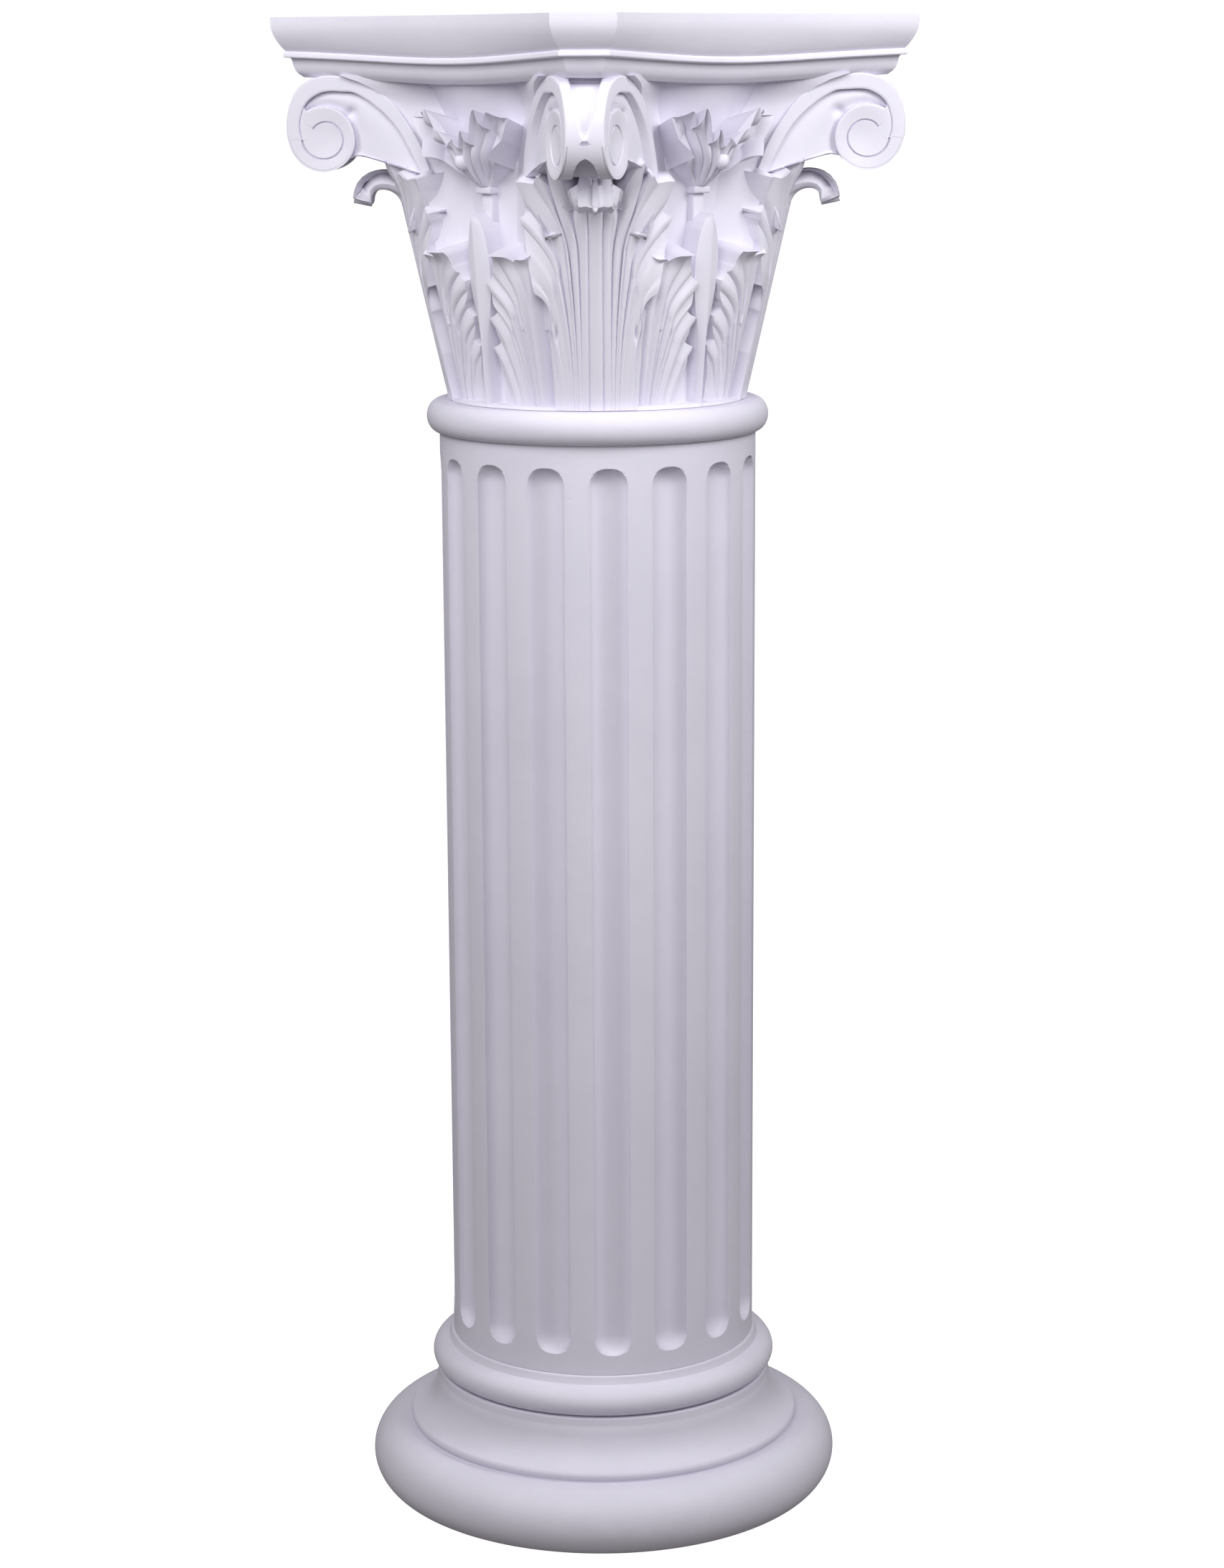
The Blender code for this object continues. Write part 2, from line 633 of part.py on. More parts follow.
def make_capital(parts, foot):
    under = CAPITAL_HEIGHT - ABACUS_HEIGHT
    profile = [(0.0, foot + CAPITAL_HEIGHT - 0.010), (BELL_LIP_RADIUS * 0.8, foot + CAPITAL_HEIGHT - 0.010)]
    profile += [(BELL_LIP_RADIUS, foot + under + 0.002)]
    heights = [BELL_LIP_HEIGHT, 0.1800, 0.1580, 0.1250, FOOT_FLANGE + 0.002]
    profile += [(bell_radius(height), foot + height) for height in heights]
    profile += [(FOOT_RADIUS, foot + FOOT_FLANGE), (FOOT_RADIUS, foot), (0.0, foot)]
    material = plaster("capital_plaster", (0.80, 0.79, 0.83), 0.60)
    capital = turned("capital", profile, BELL_STEPS, parts, material)
    carving = new_collection("capital_carving")
    make_abacus(carving, foot)
    for number, turn in enumerate(CORNER_TURNS, 1):
        make_tall_leaf(carving, turn, number, foot + LEAF_START)
        make_leaf_core(carving, turn, number, foot)
        make_web(carving, turn, number, foot)
        make_scroll_band(carving, turn, number, foot)
        make_scroll_boss(f"scroll_disc_{number}", carving, turn, DISC_RADIUS, DISC_SETBACK, foot, 10)
        make_scroll_boss(f"scroll_eye_{number}", carving, turn, EYE_RADIUS, 0.0, foot, 10)
        for side in (-1, 1):
            leaf = 2 * number - (side < 0)
            make_low_leaf(carving, turn + side * LOW_LEAF_TURN, leaf, foot + LEAF_START, side)
    for number, turn in enumerate(SIDE_TURNS, 1):
        make_slim_leaf(carving, turn, number, foot + LEAF_START)
        make_sheath(carving, turn, number, foot)
        make_collar(carving, turn, number, foot)
    join = capital.modifiers.new("carving", 'BOOLEAN')
    join.operation = 'UNION'
    join.operand_type = 'COLLECTION'
    join.collection = carving
    join.solver = 'EXACT'
    notches = new_collection("capital_cutters")
    for number, turn in enumerate(CORNER_TURNS, 1):
        make_notch_cutter(notches, turn, number, foot)
    cut = capital.modifiers.new("notches", 'BOOLEAN')
    cut.operation = 'DIFFERENCE'
    cut.operand_type = 'COLLECTION'
    cut.collection = notches
    cut.solver = 'EXACT'
    tidy = capital.modifiers.new("flat_faces", 'DECIMATE')
    tidy.decimate_type = 'DISSOLVE'
    tidy.angle_limit = math.radians(2)
    thin = capital.modifiers.new("small_faces", 'DECIMATE')
    thin.ratio = KEPT_SHARE
    return capital


def main():
    clear_scene()
    parts = new_collection("corinthian_column")
    make_base(parts)
    shaft_head = make_shaft(parts, BASE_HEIGHT + JOINT_GAP)
    make_capital(parts, shaft_head + JOINT_GAP)


main()
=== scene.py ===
import math
import bisect
import bmesh
import bpy
from mathutils import Matrix, Vector


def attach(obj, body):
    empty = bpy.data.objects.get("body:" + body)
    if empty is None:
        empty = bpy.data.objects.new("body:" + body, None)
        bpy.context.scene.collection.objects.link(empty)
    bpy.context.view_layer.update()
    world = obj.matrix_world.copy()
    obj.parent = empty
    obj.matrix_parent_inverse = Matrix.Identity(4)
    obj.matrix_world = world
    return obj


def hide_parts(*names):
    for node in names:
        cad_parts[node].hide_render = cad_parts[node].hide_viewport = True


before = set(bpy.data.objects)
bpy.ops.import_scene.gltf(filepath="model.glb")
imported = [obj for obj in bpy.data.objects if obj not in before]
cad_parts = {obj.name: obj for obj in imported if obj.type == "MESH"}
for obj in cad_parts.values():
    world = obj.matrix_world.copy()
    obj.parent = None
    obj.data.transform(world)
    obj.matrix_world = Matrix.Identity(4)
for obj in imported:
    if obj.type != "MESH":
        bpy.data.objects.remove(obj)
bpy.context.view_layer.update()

# Heights of the three castings
BASE_TOP = 0.1100
SHAFT_FOOT = 0.1103
SHAFT_HEAD = 0.7535
CAPITAL_FOOT = 0.7538

# The corners lie on the diagonals; the sides face the axes
QUARTER = math.pi / 2
CORNER_TURNS = [QUARTER * i + QUARTER / 2 for i in range(4)]
SIDE_TURNS = [QUARTER * i for i in range(4)]


def clamp(value, low=0.0, high=1.0):
    return max(low, min(high, value))


def ease(value):
    value = clamp(value)
    return value * value * (3 - 2 * value)


def between(table, key):
    """Reads a table of (key, value) pairs, straight between neighbours."""
    if key <= table[0][0]:
        return table[0][1]
    for (k0, v0), (k1, v1) in zip(table, table[1:]):
        if key <= k1:
            return v0 + (v1 - v0) * (key - k0) / (k1 - k0)
    return table[-1][1]


def smooth_between(table, key):
    """Reads a table of (key, value) pairs through a smooth curve."""
    count = len(table)
    i = bisect.bisect_right([k for k, _ in table], key) - 1
    i = int(clamp(i, 0, count - 2))
    k0, v0 = table[i]
    k1, v1 = table[i + 1]
    before = table[max(0, i - 1)]
    after = table[min(count - 1, i + 2)]
    slope0 = (v1 - before[1]) / (k1 - before[0]) if k1 != before[0] else 0.0
    slope1 = (after[1] - v0) / (after[0] - k0) if after[0] != k0 else 0.0
    t = clamp((key - k0) / (k1 - k0))
    gap = k1 - k0
    h00 = (1 + 2 * t) * (1 - t) ** 2
    h10 = t * (1 - t) ** 2
    h01 = t * t * (3 - 2 * t)
    h11 = t * t * (t - 1)
    return h00 * v0 + h10 * gap * slope0 + h01 * v1 + h11 * gap * slope1


def polar(reach, turn, height):
    return Vector((reach * math.cos(turn), reach * math.sin(turn), height))


def corner_frame(turn, reach, side, height):
    """The point reach out along the direction turn, and side to its left."""
    c, s = math.cos(turn), math.sin(turn)
    return Vector((reach * c - side * s, reach * s + side * c, height))


def finish_piece(name, bm, node, material, smooth_angle=40):
    """Turns a bmesh into a piece that rides on the column and stands for its casting."""
    bmesh.ops.recalc_face_normals(bm, faces=bm.faces[:])
    mesh = bpy.data.meshes.new(name)
    bm.to_mesh(mesh)
    bm.free()
    piece = bpy.data.objects.new(name, mesh)
    bpy.context.scene.collection.objects.link(piece)
    mesh.materials.append(material)
    mesh.shade_smooth()
    mesh.set_sharp_from_angle(angle=math.radians(smooth_angle))
    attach(piece, "root")
    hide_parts(node)
    return piece


def join_into(bm, other):
    """Adds one bmesh's shape to another."""
    mesh = bpy.data.meshes.new("joined_shape")
    other.to_mesh(mesh)
    other.free()
    bm.from_mesh(mesh)
    bpy.data.meshes.remove(mesh)


def grain_group():
    """Cast plaster: fine grain, soft waves from the mould, pits where air was caught and darkened with
    painted shade, uneven tone.
    """
    group = bpy.data.node_groups.new("cast_plaster_surface", "ShaderNodeTree")
    face = group.interface
    tone_in = face.new_socket("Tone", in_out='INPUT', socket_type='NodeSocketColor')
    tone_in.default_value = (0.8, 0.8, 0.85, 1)
    dusk_in = face.new_socket("Dusk", in_out='INPUT', socket_type='NodeSocketColor')
    dusk_in.default_value = (0.7, 0.7, 0.76, 1)
    pits_in = face.new_socket("Pits", in_out='INPUT', socket_type='NodeSocketFloat')
    pits_in.default_value = 0.5
    face.new_socket("Color", in_out='OUTPUT', socket_type='NodeSocketColor')
    face.new_socket("Roughness", in_out='OUTPUT', socket_type='NodeSocketFloat')
    face.new_socket("Normal", in_out='OUTPUT', socket_type='NodeSocketVector')
    nodes, links = group.nodes, group.links
    inlet = nodes.new("NodeGroupInput")
    outlet = nodes.new("NodeGroupOutput")
    coords = nodes.new("ShaderNodeTexCoord")

    def cloud(scale, detail, rough=0.5):
        node = nodes.new("ShaderNodeTexNoise")
        node.inputs["Scale"].default_value = scale
        node.inputs["Detail"].default_value = detail
        node.inputs["Roughness"].default_value = rough
        links.new(coords.outputs["Object"], node.inputs["Vector"])
        return node.outputs["Fac"]

    def ramp(source, low, high, start, end):
        node = nodes.new("ShaderNodeMapRange")
        node.inputs["From Min"].default_value = low
        node.inputs["From Max"].default_value = high
        node.inputs["To Min"].default_value = start
        node.inputs["To Max"].default_value = end
        links.new(source, node.inputs["Value"])
        return node.outputs["Result"]

    def maths(kind, a, b):
        node = nodes.new("ShaderNodeMath")
        node.operation = kind
        for socket, value in zip(node.inputs, (a, b)):
            if isinstance(value, (int, float)):
                socket.default_value = value
            else:
                links.new(value, socket)
        return node.outputs[0]

    waves = cloud(9.0, 3.0)
    mottle = cloud(60.0, 5.0, 0.6)
    fine = cloud(900.0, 3.0, 0.6)
    grain = cloud(260.0, 4.0, 0.55)

    cells = nodes.new("ShaderNodeTexVoronoi")
    cells.inputs["Scale"].default_value = 95.0
    links.new(coords.outputs["Object"], cells.inputs["Vector"])
    chance = nodes.new("ShaderNodeSeparateColor")
    links.new(cells.outputs["Color"], chance.inputs["Color"])
    size = ramp(chance.outputs["Red"], 0.93, 1.0, 0.0, 0.16)
    pit = maths('SUBTRACT', size, cells.outputs["Distance"])
    pit = ramp(pit, 0.0, 0.09, 0.0, 1.0)
    pit = maths('MULTIPLY', pit, inlet.outputs["Pits"])

    tone = nodes.new("ShaderNodeMix")
    tone.data_type = 'RGBA'
    shade = maths('ADD', ramp(waves, 0.35, 0.65, 0.0, 0.55), ramp(mottle, 0.3, 0.7, 0.0, 0.35))
    # Painted shade: the pits' colour is darkened for the shade that falls into each hollow; the waves and
    # mottle above are uneven tone at random
    shade = maths('ADD', shade, maths('MULTIPLY', pit, 1.2))
    links.new(shade, tone.inputs["Factor"])
    links.new(inlet.outputs["Tone"], tone.inputs["A"])
    links.new(inlet.outputs["Dusk"], tone.inputs["B"])
    links.new(tone.outputs["Result"], outlet.inputs["Color"])

    rough = maths('ADD', ramp(mottle, 0.3, 0.7, 0.50, 0.62), maths('MULTIPLY', pit, 0.2))
    links.new(rough, outlet.inputs["Roughness"])

    height = maths('ADD', maths('MULTIPLY', grain, 0.00012), maths('MULTIPLY', fine, 0.00004))
    height = maths('ADD', height, maths('MULTIPLY', mottle, 0.0005))
    height = maths('SUBTRACT', height, maths('MULTIPLY', pit, 0.0006))
    bump = nodes.new("ShaderNodeBump")
    bump.inputs["Strength"].default_value = 0.55
    bump.inputs["Distance"].default_value = 1.0
    links.new(height, bump.inputs["Height"])
    links.new(bump.outputs["Normal"], outlet.inputs["Normal"])
    return group


def plaster(name, tone, dusk, pits):
    material = bpy.data.materials.new(name)
    material.use_nodes = True
    nodes, links = material.node_tree.nodes, material.node_tree.links
    shader = nodes["Principled BSDF"]
    surface = nodes.new("ShaderNodeGroup")
    surface.node_tree = PLASTER_SURFACE
    surface.inputs["Tone"].default_value = (*tone, 1.0)
    surface.inputs["Dusk"].default_value = (*dusk, 1.0)
    surface.inputs["Pits"].default_value = pits
    links.new(surface.outputs["Color"], shader.inputs["Base Color"])
    links.new(surface.outputs["Roughness"], shader.inputs["Roughness"])
    links.new(surface.outputs["Normal"], shader.inputs["Normal"])
    shader.inputs["Specular IOR Level"].default_value = 0.35
    return material


PLASTER_SURFACE = grain_group()
# All three castings are one plaster; the capital's lighter tone is painted light, for the brighter light that
# falls on the top of the column
CAPITAL_PLASTER = plaster("capital_plaster", (0.81, 0.785, 0.885), (0.76, 0.735, 0.84), 0.5)
SHAFT_PLASTER = plaster("shaft_plaster", (0.78, 0.75, 0.86), (0.72, 0.695, 0.805), 0.4)
BASE_PLASTER = plaster("base_plaster", (0.78, 0.75, 0.855), (0.72, 0.695, 0.80), 0.6)


def finish_capital_piece(name, bm, smooth_angle=50):
    return finish_piece(name, bm, "capital", CAPITAL_PLASTER, smooth_angle)


def round_moulding(centre_r, centre_z, bulge, half_height, start, end, steps):
    """A rounded part of a profile, between two angles in degrees: 0 is outwards and 90 is up."""
    points = []
    for i in range(steps + 1):
        angle = math.radians(start + (end - start) * i / steps)
        points.append((centre_r + bulge * math.cos(angle), centre_z + half_height * math.sin(angle)))
    return points


def spun(profile, steps):
    """Spins a profile, given from the axis at the top down to the axis at the foot, into a closed turning."""
    bm = bmesh.new()
    verts = [bm.verts.new((r, 0.0, z)) for r, z in profile]
    edges = [bm.edges.new(pair) for pair in zip(verts, verts[1:])]
    bmesh.ops.spin(bm, geom=verts + edges, cent=(0, 0, 0), axis=(0, 0, 1), angle=2 * math.pi,
                   steps=steps, use_merge=True)
    bmesh.ops.remove_doubles(bm, verts=bm.verts[:], dist=1e-6)
    return bm


def softened(profile, radius, corners):
    """The same profile with the corners named by index rounded off."""
    points = []
    for i, point in enumerate(profile):
        if i not in corners:
            points.append(point)
            continue
        here = Vector(point)
        before = Vector(profile[i - 1]) - here
        after = Vector(profile[i + 1]) - here
        reach = min(radius, before.length * 0.45, after.length * 0.45)
        start = here + before.normalized() * reach
        end = here + after.normalized() * reach
        for j in range(4):
            t = j / 3
            points.append(tuple(start * (1 - t) ** 2 + here * (2 * t * (1 - t)) + end * t * t))
    return points


def make_base():
    seat = [(0.0, BASE_TOP), (0.1052, BASE_TOP), (0.1060, 0.1070), (0.1069, 0.1046)]
    profile = softened(seat, 0.0010, {1, 2})
    profile += round_moulding(0.1075, 0.0938, 0.0106, 0.0100, 76, -72, 22)
    lip = [(0.1128, 0.0840), (0.1149, 0.0836), (0.1149, 0.0782), (0.1158, 0.0750)]
    profile += softened(lip, 0.0009, {1, 2})
    # The hollow between the two round mouldings
    for i in range(1, 12):
        angle = QUARTER * i / 12
        profile.append((0.1158 + 0.0172 * (1 - math.cos(angle)), 0.0750 - 0.0226 * math.sin(angle)))
    step = [(0.1330, 0.0524), (0.1340, 0.0510), (0.1338, 0.0484), (0.1320, 0.0468), (0.1330, 0.0452)]
    profile += softened(step, 0.0010, {1, 2, 3})
    profile += round_moulding(0.1378, 0.0230, 0.0225, 0.0230, 78, -90, 34)
    profile += [(0.0, 0.0)]
    finish_piece("base_mouldings", spun(profile, 256), "base", BASE_PLASTER)


# The flutes, with the turn at which the first one stands, and the shaft that they are cut in
FLUTE_COUNT = 16
FLUTE_PITCH = 2 * math.pi / FLUTE_COUNT
FLUTE_TURN = CORNER_TURNS[3] + math.radians(5.65)
FLUTE_WIDTH = math.radians(13.5)
FLUTE_DEPTH = 0.0085
FLUTE_FOOT = 0.1237
FLUTE_HEAD = 0.7180
SHAFT_FOOT_RADIUS = 0.1037
SHAFT_TOP_RADIUS = 0.1045
FLUTE_HALF = FLUTE_WIDTH * SHAFT_TOP_RADIUS / 2
RING_FOOT = 0.7325


def shaft_radius(height):
    share = clamp((height - SHAFT_FOOT) / (RING_FOOT - SHAFT_FOOT))
    return SHAFT_FOOT_RADIUS + (SHAFT_TOP_RADIUS - SHAFT_FOOT_RADIUS) * share


def flute_depth(turn, height):
    """How deep the nearest flute is at a place on the shaft."""
    away = (turn - FLUTE_TURN + FLUTE_PITCH / 2) % FLUTE_PITCH - FLUTE_PITCH / 2
    side = abs(away) * SHAFT_TOP_RADIUS
    beyond = max(0.0, FLUTE_FOOT + FLUTE_HALF - height, height - (FLUTE_HEAD - FLUTE_HALF))
    distance = math.hypot(side, beyond) / FLUTE_HALF
    if distance >= 1:
        return 0.0
    return FLUTE_DEPTH * math.sqrt(1 - distance ** 2) ** 0.9


def make_shaft():
    # Rows crowd into the flutes' round ends
    end_rows, straight_rows, margin = 22, 24, 0.0006
    rounded = [FLUTE_HALF * (1 - math.cos(QUARTER * i / end_rows)) for i in range(end_rows + 1)]
    low, high = FLUTE_FOOT + FLUTE_HALF, FLUTE_HEAD - FLUTE_HALF
    heights = [SHAFT_FOOT, FLUTE_FOOT - margin]
    heights += [FLUTE_FOOT + rise for rise in rounded]
    heights += [low + (high - low) * i / straight_rows for i in range(1, straight_rows)]
    heights += [FLUTE_HEAD - rise for rise in reversed(rounded)]
    heights += [FLUTE_HEAD + margin, RING_FOOT]
    columns_per_flute = 28
    columns = FLUTE_COUNT * columns_per_flute
    bm = bmesh.new()
    bmesh.ops.create_grid(bm, x_segments=columns, y_segments=len(heights) - 1, size=0.5)
    edge = FLUTE_WIDTH / FLUTE_PITCH
    crowded = 0.72
    for vert in bm.verts:
        column = round((vert.co.x + 0.5) * columns)
        row = round((vert.co.y + 0.5) * (len(heights) - 1))
        flute, place = divmod(column, columns_per_flute)
        # Columns crowd towards the flute's two edges
        share = place / columns_per_flute * 2 - 1
        if abs(share) < crowded:
            local = math.sin(share / crowded * QUARTER) * edge
        else:
            local = math.copysign(edge + (1 - edge) * (abs(share) - crowded) / (1 - crowded), share)
        turn = FLUTE_TURN + (flute + local / 2) * FLUTE_PITCH
        height = heights[row]
        reach = shaft_radius(height) - flute_depth(turn, height)
        vert.co = polar(reach, turn, height)
    bmesh.ops.remove_doubles(bm, verts=bm.verts[:], dist=1e-6)
    rims = [item for item in bm.edges if item.is_boundary]
    foot_rim = [item for item in rims if item.verts[0].co.z < FLUTE_FOOT]
    head_rim = [item for item in rims if item.verts[0].co.z > FLUTE_HEAD]
    bmesh.ops.contextual_create(bm, geom=foot_rim)
    ring = round_moulding(SHAFT_TOP_RADIUS, 0.7430, 0.0083, 0.0105, -86, 84, 20)
    ring = [(SHAFT_TOP_RADIUS, RING_FOOT + 0.0002)] + ring + [(0.1035, SHAFT_HEAD)]
    for reach, height in ring:
        grown = bmesh.ops.extrude_edge_only(bm, edges=head_rim)["geom"]
        for vert in (item for item in grown if isinstance(item, bmesh.types.BMVert)):
            turn = math.atan2(vert.co.y, vert.co.x)
            vert.co = polar(reach, turn, height)
        head_rim = [item for item in grown if isinstance(item, bmesh.types.BMEdge)]
    bmesh.ops.contextual_create(bm, geom=head_rim)
    finish_piece("fluted_shaft", bm, "shaft", SHAFT_PLASTER)


# The abacus: how far out its cut corners stand, half their width, and how deep its sides are hollowed
ABACUS_REACH = 0.2085
CORNER_HALF_WIDTH = 0.0201
SIDE_HOLLOW = 0.0247
MIDDLE_SAG = 0.0047
# Its profile from the top down: setback, height, and the share of the sag at a side's middle
ABACUS_LEVELS = [
    (0.0000, 1.0000, 0.0), (0.0000, 0.9990, 0.0), (0.0000, 0.9960, 0.0), (0.0003, 0.9930, 0.0),
    (0.0010, 0.9902, 0.1), (0.0024, 0.9872, 0.3), (0.0042, 0.9842, 0.6), (0.0062, 0.9815, 0.8),
    (0.0082, 0.9793, 1.0), (0.0092, 0.9784, 1.0), (0.0090, 0.9778, 1.0), (0.0076, 0.9776, 1.0),
    (0.0073, 0.9770, 1.0), (0.0074, 0.9752, 1.0), (0.0079, 0.9746, 1.0), (0.0112, 0.9744, 1.0),
    (0.0122, 0.9738, 1.0), (0.0127, 0.9722, 1.0), (0.0133, 0.9695, 1.0), (0.0146, 0.9664, 1.0),
    (0.0166, 0.9641, 1.0), (0.0184, 0.9630, 1.0), (0.0189, 0.9624, 1.0), (0.0200, 0.9620, 1.0),
]


def abacus_reach(turn, setback):
    """Distance from the axis to the abacus's edge, set back, in the direction turn."""
    to_corner = ABACUS_REACH * math.cos(QUARTER / 2) + CORNER_HALF_WIDTH * math.sin(QUARTER / 2)
    half_side = ABACUS_REACH * math.sin(QUARTER / 2) - CORNER_HALF_WIDTH * math.cos(QUARTER / 2)
    radius = (half_side ** 2 + SIDE_HOLLOW ** 2) / (2 * SIDE_HOLLOW)
    centre = to_corner - SIDE_HOLLOW + radius
    away = (turn + QUARTER / 2) % QUARTER - QUARTER / 2
    edge = radius + setback
    under = edge ** 2 - (centre * math.sin(away)) ** 2
    side = centre * math.cos(away) - math.sqrt(under) if under > 0 else 9.0
    from_corner = QUARTER / 2 - abs(away)
    corner = (ABACUS_REACH - setback) / math.cos(from_corner)
    return min(side, corner)


def corner_turn(setback):
    """The angle from a side's middle to where its hollow meets the cut corner."""
    low, high = QUARTER * 0.25, QUARTER / 2
    for _ in range(40):
        middle = (low + high) / 2
        corner = (ABACUS_REACH - setback) / math.cos(QUARTER / 2 - middle)
        if abacus_reach(middle, setback) < corner - 1e-9:
            low = middle
        else:
            high = middle
    return low


def make_abacus(bm):
    along_side, along_corner = 44, 12
    per_quarter = along_side + along_corner
    count = 4 * per_quarter
    shape = bmesh.new()
    rim = bmesh.ops.create_circle(shape, cap_ends=False, segments=count, radius=0.1)["verts"]
    bottom_edges = shape.edges[:]
    in_turn = sorted(rim, key=lambda vert: math.atan2(vert.co.y, vert.co.x) % (4 * QUARTER))
    ranks = {vert: i for i, vert in enumerate(in_turn)}

    def lay(verts, ranks, setback, height, sag):
        half_turn = corner_turn(setback)
        for vert in verts:
            quarter, place = divmod(ranks[vert], per_quarter)
            if place <= along_side:
                away = (place / along_side * 2 - 1) * half_turn
                share = abs(place / along_side * 2 - 1)
            else:
                step = (place - along_side) / along_corner
                away = half_turn + (QUARTER - 2 * half_turn) * step
                share = 1.0
            turn = QUARTER * quarter + away
            reach = abacus_reach(turn, setback)
            vert.co = polar(reach, turn, height - MIDDLE_SAG * sag * (1 - share ** 2))

    lay(rim, ranks, *ABACUS_LEVELS[0])
    for setback, height, sag in ABACUS_LEVELS[1:]:
        grown = bmesh.ops.extrude_edge_only(shape, edges=bottom_edges)["geom"]
        fresh = [item for item in grown if isinstance(item, bmesh.types.BMVert)]
        linked = {}
        for vert in fresh:
            for edge in vert.link_edges:
                other = edge.other_vert(vert)
                if other in ranks:
                    linked[vert] = ranks[other]
        bottom_edges = [item for item in grown if isinstance(item, bmesh.types.BMEdge)
                        and item.verts[0] in linked and item.verts[1] in linked]
        ranks = linked
        lay(fresh, ranks, setback, height, sag)
    bmesh.ops.contextual_create(shape, geom=bottom_edges)
    bmesh.ops.contextual_create(shape, geom=[edge for edge in shape.edges if edge.is_boundary])
    join_into(bm, shape)


# The bell: height above the capital's foot, and radius
BELL_HEIGHT = 0.212
BELL_PROFILE = [
    (0.0, 0.0880), (0.046, 0.0880), (0.096, 0.0890), (0.131, 0.0910), (0.151, 0.0940),
    (0.171, 0.0990), (0.186, 0.1045), (0.198, 0.1105), (0.2055, 0.1152), (0.2120, 0.1185),
]


def make_bell(bm):
    profile = [(0.0, CAPITAL_FOOT + BELL_HEIGHT)]
    heights = [BELL_HEIGHT - (BELL_HEIGHT - 0.003) * i / 60 for i in range(61)]
    profile += [(smooth_between(BELL_PROFILE, height), CAPITAL_FOOT + height) for height in heights]
    profile += [(0.0968, CAPITAL_FOOT + 0.0022), (0.0972, CAPITAL_FOOT), (0.0, CAPITAL_FOOT)]
    join_into(bm, spun(profile, 144))


# Each line of a leaf: offset from the middle at the foot, at seven tenths and at the end, its length
# along the leaf, the depth of the groove it follows (none on a rib), and how late it turns out
TALL_LINES = [
    (0.0000, 0.0000, 0.0000, 0.1634, 0.0000, 1.0),
    (0.0046, 0.0046, 0.0058, 0.1592, 0.0018, 1.0),
    (0.0062, 0.0062, 0.0104, 0.1612, 0.0000, 1.0),
    (0.0078, 0.0086, 0.0146, 0.1562, 0.0008, 1.0),
    (0.0092, 0.0108, 0.0176, 0.1400, 0.0030, 1.2),
    (0.0100, 0.0134, 0.0318, 0.1600, 0.0000, 1.1),
    (0.0110, 0.0150, 0.0308, 0.1530, 0.0012, 1.1),
    (0.0117, 0.0170, 0.0285, 0.1395, 0.0034, 1.1),
    (0.0122, 0.0180, 0.0385, 0.1500, 0.0000, 1.5),
    (0.0128, 0.0190, 0.0410, 0.1440, 0.0014, 1.7),
    (0.0134, 0.0200, 0.0545, 0.1440, 0.0004, 2.0),
    (0.0144, 0.0228, 0.0455, 0.1270, 0.0036, 1.8),
    (0.0150, 0.0240, 0.0530, 0.1230, 0.0000, 2.2),
    (0.0162, 0.0256, 0.0500, 0.1160, 0.0018, 2.1),
    (0.0180, 0.0272, 0.0470, 0.1040, 0.0004, 2.1),
    (0.0200, 0.0286, 0.0425, 0.0860, 0.0008, 2.6),
    (0.0215, 0.0285, 0.0400, 0.0765, 0.0000, 4.0),
    (0.0235, 0.0287, 0.0315, 0.0752, 0.0020, 1.5),
    (0.0252, 0.0290, 0.0314, 0.0600, 0.0000, 1.0),
    (0.0272, 0.0288, 0.0296, 0.0440, 0.0006, 1.0),
]
LOW_LINES = [
    (-0.0190, -0.0190, -0.0150, 0.0960, 0.0000, 1.0),
    (-0.0110, -0.0100, -0.0070, 0.0990, 0.0016, 1.0),
    (-0.0060, -0.0040, -0.0010, 0.1005, 0.0000, 1.0),
    (-0.0030, -0.0005, 0.0060, 0.0955, 0.0022, 1.3),
    (-0.0005, 0.0045, 0.0205, 0.1055, 0.0000, 1.5),
    (0.0000, 0.0058, 0.0225, 0.0985, 0.0020, 1.6),
    (0.0003, 0.0070, 0.0250, 0.0900, 0.0008, 1.8),
    (0.0005, 0.0080, 0.0268, 0.0858, 0.0034, 2.0),
    (0.0020, 0.0115, 0.0330, 0.0810, 0.0000, 2.2),
    (0.0032, 0.0124, 0.0305, 0.0740, 0.0020, 2.1),
    (0.0042, 0.0130, 0.0280, 0.0670, 0.0008, 2.0),
    (0.0050, 0.0135, 0.0258, 0.0624, 0.0030, 1.8),
    (0.0085, 0.0190, 0.0335, 0.0578, 0.0000, 1.8),
    (0.0098, 0.0190, 0.0308, 0.0520, 0.0018, 1.7),
    (0.0120, 0.0190, 0.0264, 0.0418, 0.0028, 1.5),
    (0.0155, 0.0230, 0.0330, 0.0384, 0.0000, 1.6),
    (0.0170, 0.0235, 0.0305, 0.0330, 0.0014, 1.4),
    (0.0215, 0.0245, 0.0264, 0.0190, 0.0016, 1.0),
    (0.0262, 0.0262, 0.0266, 0.0080, 0.0000, 1.0),
]
